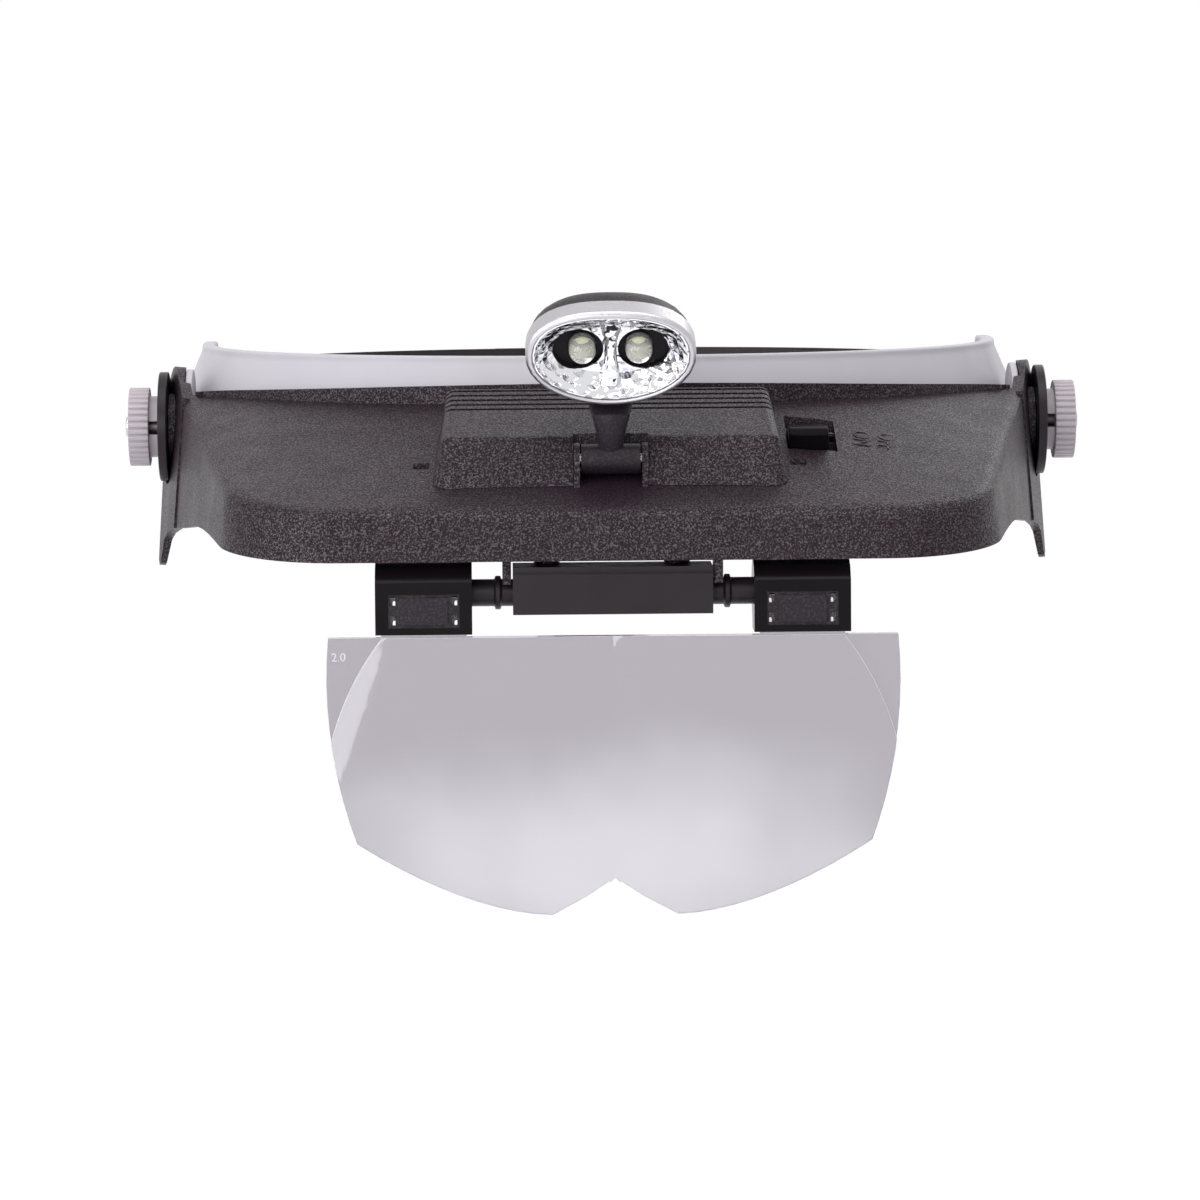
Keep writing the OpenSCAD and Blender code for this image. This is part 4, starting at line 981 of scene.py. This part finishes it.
@dataclass
class Hood(SubAssembly):
    """The tilting hood, with the switch marks on its roof."""

    mark_x: float = 50.0
    mark_ahead: float = 111.0
    mark_h: float = 5.0
    mark_raise: float = 0.16
    mark_round: float = 0.06
    mark_aside: float = 2.4
    ring: tuple[float, float, float] = (85.6, 97.0, 2.3)
    gap: float = 0.5
    pivot: float = 45.0
    swing_r: float = 15.75
    roof_h: tuple[float, float] = (7.0, -11.2)
    front: float = 145.0
    wall: float = 2.2
    slope_step: float = 2.0

    def roof_height(self, x: np.ndarray, y: np.ndarray) -> np.ndarray:
        """Height of the roof: it falls evenly from its rear edge to its front edge.

        The rear edge swings clear of the ring, so at the width x it lies sqrt(a² + s² − t²)
        before the pivot, where a is how far the ring and its gap reach before the pivot, s the
        swing radius and t the height of the roof's lower face there.

        Args:
            x: Distances from the middle.
            y: Distances along Y from the ring's centre.

        Returns:
            The heights.
        """
        half_w, half_l, power = self.ring
        (high, low), under = self.roof_h, self.roof_h[0] - self.wall
        ahead = half_l * np.maximum(1 - (np.abs(x) / half_w) ** power, 0) ** (1 / power)
        reach = np.maximum(ahead + self.gap - self.pivot, 0)
        rear = self.pivot + np.sqrt(reach ** 2 + self.swing_r ** 2 - under ** 2)
        return high + (low - high) * np.maximum(-y - rear, 0) / (self.front - rear)

    def roof_normals(self, points: np.ndarray) -> np.ndarray:
        """Normals of the roof, from its slopes over a short step each way.

        Args:
            points: Points on the roof, one in each row.

        Returns:
            Their normals, one in each row.
        """
        x, y, d = points[:, 0], points[:, 1], self.slope_step
        slope_x = (self.roof_height(x + d, y) - self.roof_height(x - d, y)) / (2 * d)
        slope_y = (self.roof_height(x, y + d) - self.roof_height(x, y - d)) / (2 * d)
        return unit(np.stack([-slope_x, -slope_y, np.ones(len(x))], -1))

    def plane_at(self, x: float, y: float) -> Matrix:
        """Frame on the roof at a point in plan: Z is square to the roof, and X runs across.

        Args:
            x: Distance from the middle.
            y: Distance along Y from the ring's centre.

        Returns:
            The frame's matrix, in metres.
        """
        mesh = frame["nodes"]["visor_hood"].data
        tree = BVHTree.FromPolygons(
            [v.co for v in mesh.vertices], [p.vertices for p in mesh.polygons])
        hit, normal, _, _ = tree.ray_cast(Vector((x * MM, y * MM, 1.0)), Vector((0, 0, -1)))
        across = Vector((0, 1, 0)).cross(normal).normalized()
        turn = Matrix((across, normal.cross(across), normal)).transposed()
        return Matrix.Translation(hit) @ turn.to_4x4()

    def mark(self, word: str, aside: float) -> None:
        """Raises one of the switch's words on the roof, reading towards the front edge.

        Args:
            word: What the mark says.
            aside: How far along X the mark stands from the marks' centre.
        """
        shape = word_mesh(f"switch_mark_{word.lower()}", word, self.mark_h, self.mark_raise)
        shape.transform(self.plane_at(self.mark_x + aside, -self.mark_ahead)
                        @ Matrix.Rotation(-math.pi / 2, 4, "Z"))
        piece = new_object(shape.name, shape, self.finishes.grained_abs)
        edge = piece.modifiers.new("rounded_edges", "BEVEL")
        edge.width, edge.segments = self.mark_round * MM, 2
        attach(piece, "visor")

    def build(self) -> None:
        """Skins the hood and adds its marks."""
        look = RoundedSkin(0.0, spread=12, guide=self.roof_normals)
        skin(look, self.finishes.grained_abs, "visor_hood")
        self.mark("ON", -self.mark_aside)
        self.mark("OFF", self.mark_aside)


@dataclass
class BatteryBox(SubAssembly):
    """The battery cover, the tray with its cells and contacts, and the switch."""

    def build(self) -> None:
        """Dresses the box and what it holds."""
        skin(RoundedSkin(0.0, spread=3), self.finishes.grained_abs, "battery_cover", "battery_tray")
        skin(RoundedSkin(0.2), self.finishes.smooth_abs, "switch_body")
        skin(RoundedSkin(0.35), self.finishes.gloss_abs, "switch_button")
        skin(RoundedSkin(0.3), self.finishes.cell_sleeve, "battery_rear", "battery_front")
        skin(RoundedSkin(0.1), self.finishes.steel, "tray_screws", "contact_plates")
        skin(RoundedSkin(0.0, crease=70.0), self.finishes.steel, "contact_springs")


@dataclass
class Lamp(SubAssembly):
    """The lamp head: two shells, rim, reflector, baffle, board and two diodes."""

    ahead: float = 142.0
    up: float = 16.3
    pitch: float = 26.0
    led_gap: float = 10.4
    led_z: float = 0.25
    cup_y: float = 4.6
    cup_r: float = 1.5
    cup_depth: float = 1.1
    cup_wall: float = 0.15
    cup_back: float = 0.8
    cup_floor: float = 0.55
    phosphor_r: float = 0.48
    around: int = 40
    crease: float = 35.0

    def place(self, points: np.ndarray) -> np.ndarray:
        """Moves points from the lamp's own frame, whose face looks along -Y, to the object's.

        Args:
            points: The points, with X, Y and Z last.

        Returns:
            The moved points.
        """
        a = math.radians(self.pitch)
        x, y, z = points[..., 0], points[..., 1], points[..., 2]
        return np.stack([x, y * math.cos(a) - z * math.sin(a) - self.ahead,
                         y * math.sin(a) + z * math.cos(a) + self.up], -1)

    def turned(self, name: str, x: float, profile: np.ndarray, material: Material) -> None:
        """Spins a profile about a diode's axis.

        Args:
            name: The piece's name.
            x: Where the diode's axis stands across the lamp.
            profile: Rows of depth behind the lamp's face and radius.
            material: The piece's finish.
        """
        a = np.linspace(0, 2 * np.pi, self.around, endpoint=False)[None, :]
        depth, radius = profile[:, :1], profile[:, 1:]
        across, up = x + radius * np.cos(a), self.led_z + radius * np.sin(a)
        rings = self.place(np.stack([across, depth + 0 * a, up], -1))
        mesh = tube_mesh(name, rings, self.crease)
        piece = new_object(name, mesh, material)
        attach(piece, "lamp")
        log.info("%s made, %d faces", name, len(mesh.polygons))

    def diode(self, side: Side) -> None:
        """Puts the reflector cup and the phosphor inside a diode.

        The cup is a cone that narrows from its rim to its floor. The phosphor is a dome on
        that floor, whose depth grows by the square of its radius. A row of a profile is a
        depth and a radius, and the innermost radii are next to nothing.

        Args:
            side: Which diode.
        """
        x, name = side.value * self.led_gap / 2, side.name.lower()
        r, rim, floor = self.cup_r, self.cup_y, self.cup_y + self.cup_depth
        cup = np.array([[floor + self.cup_back, 0.5 * r], [rim, r], [rim, r - self.cup_wall],
                        [floor, self.cup_floor * r], [floor, 0.02]])
        self.turned(f"diode_cup_{name}", x, cup, self.finishes.steel)
        s = np.linspace(0.02, 1, 9)[:, None]
        dome = np.hstack([rim + self.cup_depth * (0.45 + 0.4 * s ** 2), self.phosphor_r * r * s])
        foot = [[floor - 0.05, 0.4 * r]]
        self.turned(f"diode_phosphor_{name}", x, np.vstack([dome, foot]), self.finishes.phosphor)

    def build(self) -> None:
        """Dresses the lamp's pieces and fills its diodes."""
        skin(RoundedSkin(0.25), self.finishes.satin_abs, "lamp_shell_left", "lamp_shell_right")
        skin(RoundedSkin(0.2), self.finishes.satin_silver, "lamp_bezel")
        skin(RoundedSkin(0.15, crease=40.0), self.finishes.mirror, "lamp_reflector")
        skin(RoundedSkin(0.05), self.finishes.gloss_abs, "lamp_baffle")
        skin(RoundedSkin(0.05), self.finishes.solder_mask, "lamp_board")
        skin(RoundedSkin(0.1), self.finishes.steel, "lamp_screw")
        dress(self.finishes.steel, "lamp_pin")
        dress(self.finishes.epoxy, "led_left", "led_right")
        for side in Side:
            self.diode(side)


@dataclass
class LensHolder(SubAssembly):
    """The bearing block under the hood, the lens rod and its two clips."""

    panel_x: tuple[float, float] = (26.6, 42.7)
    panel_z: tuple[float, float] = (-33.0, -25.5)
    panel_y: float = -144.3
    forward: float = -0.9

    def grain_panel(self, clip: Object) -> None:
        """Gives the sunk panel on a clip's face the moulded grain.

        Args:
            clip: The skin of a clip, of which the forward faces inside the panel are dressed.
        """
        mesh = clip.data
        start = read(mesh.polygons, "loop_start", kind=np.int32)
        corner = read(mesh.loops, "vertex_index", kind=np.int32)
        spot = read(mesh.vertices, "co", 3)[corner] / MM
        spot[:, 0] = np.abs(spot[:, 0])
        low, high = np.minimum.reduceat(spot, start), np.maximum.reduceat(spot, start)
        inside = ((low[:, 0] > self.panel_x[0]) & (high[:, 0] < self.panel_x[1])
                  & (low[:, 2] > self.panel_z[0]) & (high[:, 2] < self.panel_z[1])
                  & (high[:, 1] < self.panel_y)
                  & (read(mesh.polygons, "normal", 3)[:, 1] < self.forward))
        mesh.materials.append(self.finishes.satin_abs)
        mesh.polygons.foreach_set("material_index", inside.astype(np.int32))
        log.info("%s panel: %d faces", clip.name, int(inside.sum()))

    def build(self) -> None:
        """Dresses the holder."""
        skin(RoundedSkin(0.25), self.finishes.smooth_abs, "rod_bearing", "lens_rod")
        for side in ("left", "right"):
            clip = RoundedSkin(0.3).make(f"clip_{side}", self.finishes.gloss_abs)
            self.grain_panel(clip)
        skin(RoundedSkin(0.1), self.finishes.steel, "bearing_screws")


@dataclass
class LensPlate(SubAssembly):
    """The clear plate with its two lenses, its rough edge, nibs and power mark."""

    front: float = -144.4
    nib_x: tuple[float, float] = (28.6, 39.9)
    nib_z: tuple[float, float] = (-28.05, -31.65)
    nib_w: float = 0.8
    nib_h: float = 1.5
    nib_raise: float = 0.09
    nib_depth: tuple[float, ...] = (0.0, 0.6, 1.0)
    nib_shrink: tuple[float, ...] = (1.0, 0.97, 0.82)
    nib_around: int = 24
    mark: str = "2.0"
    mark_at: tuple[float, float] = (-50.3, -37.6)
    mark_h: float = 2.2
    mark_raise: float = 0.06

    def nibs(self) -> None:
        """Makes the eight rough nibs on the plate's tabs, which show white in the clips' windows by
        a painted glow.

        Each is a flat pillow: an oval of power 4 carried forward and drawn in at its front.
        """
        a = np.linspace(0, 2 * np.pi, self.nib_around, endpoint=False)
        oval_x, oval_z = (np.sign(c) * np.abs(c) ** 0.5 for c in (np.cos(a), np.sin(a)))
        shrink, depth = (np.array(row)[:, None] for row in (self.nib_shrink, self.nib_depth))
        spots = [(side, i, j) for side in Side for i in range(2) for j in range(2)]
        for side, i, j in spots:
            rings = np.stack([
                side.value * self.nib_x[i] + self.nib_w / 2 * shrink * oval_x,
                self.front - self.nib_raise * depth + 0 * oval_x,
                self.nib_z[j] + self.nib_h / 2 * shrink * oval_z], -1)
            name = f"lens_nib_{side.name.lower()}_{i}{j}"
            nib = new_object(name, tube_mesh(name, rings), self.finishes.nib)
            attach(nib, "lens")

    def power(self) -> None:
        """Raises the plate's power, a plain number, at its corner."""
        shape = word_mesh("lens_power_mark", self.mark, self.mark_h, self.mark_raise)
        spot = Vector((self.mark_at[0], self.front, self.mark_at[1])) * MM
        shape.transform(Matrix.Translation(spot) @ Matrix.Rotation(math.pi / 2, 4, "X"))
        # The mark takes the frosted finish, with its weak painted glow
        piece = new_object("lens_power_mark", shape, self.finishes.frosted_glow)
        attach(piece, "lens")

    def build(self) -> None:
        """Dresses the plate, with its edges rough and given a painted glow."""
        look = RoundedSkin(0.25, crease=7.0, flat=0.05, bevel_from=15.0)
        look.make("lens_plate", self.finishes.acrylic, self.finishes.frosted_glow)
        self.nibs()
        self.power()


@dataclass
class Studio:
    """Camera, lamps, world and floor."""

    target: tuple[float, float, float] = (-0.95, -60.0, -34.38)
    distance: float = 1100.0
    elevation: float = 4.703
    yaw: float = -0.98
    roll: float = 0.45
    lens_mm: float = 166.6
    sensor_mm: float = 36.0
    clip_m: tuple[float, float] = (0.05, 50.0)
    floor_below: float = 150.0
    floor_r: float = 6000.0
    floor_colour: str = "#e6e6e8"
    floor_glow: str = "#9a9a9c"
    fade_m: tuple[float, float] = (0.35, 1.1)
    fill_colour: str = "#f6f5f7"
    fill_base: float = 0.42
    fill_above: float = 0.6
    fill_behind: float = 0.25
    behind_span: tuple[float, float] = (-0.1, 0.6)

    def camera(self) -> None:
        """Sets the camera at the photograph's angle."""
        e, y = math.radians(self.elevation), math.radians(self.yaw)
        back = Vector((math.sin(y) * math.cos(e), -math.cos(y) * math.cos(e), math.sin(e)))
        data = bpy.data.cameras.new("camera")
        data.lens, data.sensor_width = self.lens_mm, self.sensor_mm
        data.clip_start, data.clip_end = self.clip_m
        camera = bpy.data.objects.new("camera", data)
        bpy.context.scene.collection.objects.link(camera)
        turn = (-back).to_track_quat("-Z", "Y").to_matrix().to_4x4()
        spot = Matrix.Translation((Vector(self.target) + back * self.distance) * MM)
        camera.matrix_world = spot @ turn @ Matrix.Rotation(math.radians(-self.roll), 4, "Z")
        bpy.context.scene.camera = camera

    @staticmethod
    def softbox(
        name: str, spot: tuple[float, float, float], size: tuple[float, float], watts: float,
        roll: float = 0.0,
    ) -> None:
        """Hangs a soft lamp that looks at the object.

        Args:
            name: The lamp's name.
            spot: Its place, in metres.
            size: Its width and height, in metres.
            watts: Its power.
            roll: Its turn about its own axis, in degrees.
        """
        data = bpy.data.lights.new(name, "AREA")
        data.shape, data.size, data.size_y, data.energy = "RECTANGLE", size[0], size[1], watts
        lamp = bpy.data.objects.new(name, data)
        bpy.context.scene.collection.objects.link(lamp)
        aim = (Vector((0, -0.1, 0)) - Vector(spot)).to_track_quat("-Z", "Y").to_matrix()
        turn = aim.to_4x4() @ Matrix.Rotation(math.radians(roll), 4, "Z")
        lamp.matrix_world = Matrix.Translation(Vector(spot)) @ turn
        lamp.visible_camera = False

    @staticmethod
    def seen_rays(tree: NodeTree) -> NodeSocket:
        """Tells the rays that should meet the white background.

        Args:
            tree: The nodes to add to.

        Returns:
            1 for rays of the camera, of reflections and through clear pieces, otherwise 0.
        """
        ray = add_node(tree, "ShaderNodeLightPath")
        clear = add_node(tree, "ShaderNodeMath", {"operation": "MAXIMUM"}, {
            0: ray.outputs["Is Glossy Ray"], 1: ray.outputs["Is Transmission Ray"]})
        return add_node(tree, "ShaderNodeMath", {"operation": "MAXIMUM"}, {
            0: ray.outputs["Is Camera Ray"], 1: clear.outputs[0]}).outputs[0]

    def world(self) -> None:
        """Gives a fill that is brighter above and behind, and a white background.

        The fill's strength is a base, plus a share of how far a ray points up, plus a share
        of how far it points back: the white backdrop stands there, the dark room in front.
        """
        world = bpy.data.worlds.new("studio")
        bpy.context.scene.world = world
        world.use_nodes = True
        tree = world.node_tree
        tree.nodes.clear()
        way = add_node(tree, "ShaderNodeSeparateXYZ", inputs={
            "Vector": add_node(tree, "ShaderNodeTexCoord").outputs["Generated"]})
        above = add_node(tree, "ShaderNodeMapRange", inputs={
            "Value": way.outputs["Z"], "To Min": self.fill_base,
            "To Max": self.fill_base + self.fill_above})
        behind = add_node(tree, "ShaderNodeMapRange", inputs={
            "Value": way.outputs["Y"], "From Min": self.behind_span[0],
            "From Max": self.behind_span[1], "To Max": self.fill_behind})
        level = add_node(tree, "ShaderNodeMath", inputs={
            0: above.outputs["Result"], 1: behind.outputs["Result"]})
        fill = add_node(tree, "ShaderNodeBackground", inputs={
            "Color": linear(self.fill_colour), "Strength": level.outputs[0]})
        white = add_node(tree, "ShaderNodeBackground", inputs={
            "Color": (1, 1, 1, 1), "Strength": 1.0})
        mix = add_node(tree, "ShaderNodeMixShader", inputs={
            0: self.seen_rays(tree), 1: fill.outputs[0], 2: white.outputs[0]})
        add_node(tree, "ShaderNodeOutputWorld", inputs={"Surface": mix.outputs[0]})

    def floor(self) -> None:
        """Lays a pale floor that keeps the object's shadow and fades to white far away."""
        low = CAD_BOX[0].z / MM - self.floor_below
        a = np.linspace(0, 2 * np.pi, 96, endpoint=False)
        edge = np.stack([self.floor_r * np.cos(a), self.floor_r * np.sin(a), low + 0 * a], -1)
        material = bpy.data.materials.new("pale_floor")
        material.use_nodes = True
        tree = material.node_tree
        tree.nodes.clear()
        place = add_node(tree, "ShaderNodeTexCoord").outputs["Object"]
        seen = self.seen_rays(tree)
        reach = add_node(tree, "ShaderNodeVectorMath", {"operation": "LENGTH"}, {0: place})
        far = add_node(tree, "ShaderNodeMapRange", {"interpolation_type": "SMOOTHSTEP"}, {
            "Value": reach.outputs["Value"], "From Min": self.fade_m[0],
            "From Max": self.fade_m[1]})
        matt = add_node(tree, "ShaderNodeBsdfDiffuse", inputs={
            "Color": linear(self.floor_colour)})
        glow = add_node(tree, "ShaderNodeEmission", inputs={
            "Color": (1, 1, 1, 1), "Strength": seen})
        faint = add_node(tree, "ShaderNodeEmission", inputs={
            "Color": linear(self.floor_glow), "Strength": seen})
        near = add_node(tree, "ShaderNodeAddShader", inputs={
            0: matt.outputs[0], 1: faint.outputs[0]})
        away = add_node(tree, "ShaderNodeMixShader", inputs={
            0: seen, 1: matt.outputs[0], 2: glow.outputs[0]})
        mix = add_node(tree, "ShaderNodeMixShader", inputs={
            0: far.outputs["Result"], 1: near.outputs[0], 2: away.outputs[0]})
        add_node(tree, "ShaderNodeOutputMaterial", inputs={"Surface": mix.outputs[0]})
        new_object("floor", mesh_of("floor", edge, [list(range(len(a)))]), material)

    def build(self) -> None:
        """Sets up the picture."""
        self.camera()
        self.world()
        self.floor()
        self.softbox("front_left_box", (-0.35, -1.6, 0.14), (0.32, 1.0), 5.4, roll=-18)
        self.softbox("front_fill_box", (-0.98, -1.4, 0.5), (0.5, 1.0), 8)
        self.softbox("top_box", (0.0, -0.6, 1.5), (1.6, 1.2), 13)
        self.softbox("left_box", (-1.5, -0.8, 0.25), (0.6, 0.9), 6)
        self.softbox("back_right_box", (0.8, 0.9, 0.9), (1.0, 0.8), 4)
        bpy.context.scene.view_settings.view_transform = "Standard"


def main() -> None:
    """Builds the studio and the object, sub-assembly by sub-assembly."""
    logging.basicConfig(level=logging.INFO, format="%(message)s")
    finishes = Finishes()
    Studio().build()
    for kind in (HeadRing, SizeAdjuster, SidePivots, Hood, BatteryBox, Lamp, LensHolder, LensPlate):
        kind(finishes).build()
        log.info("%s done", kind.__name__)


if __name__ == "__main__":
    main()
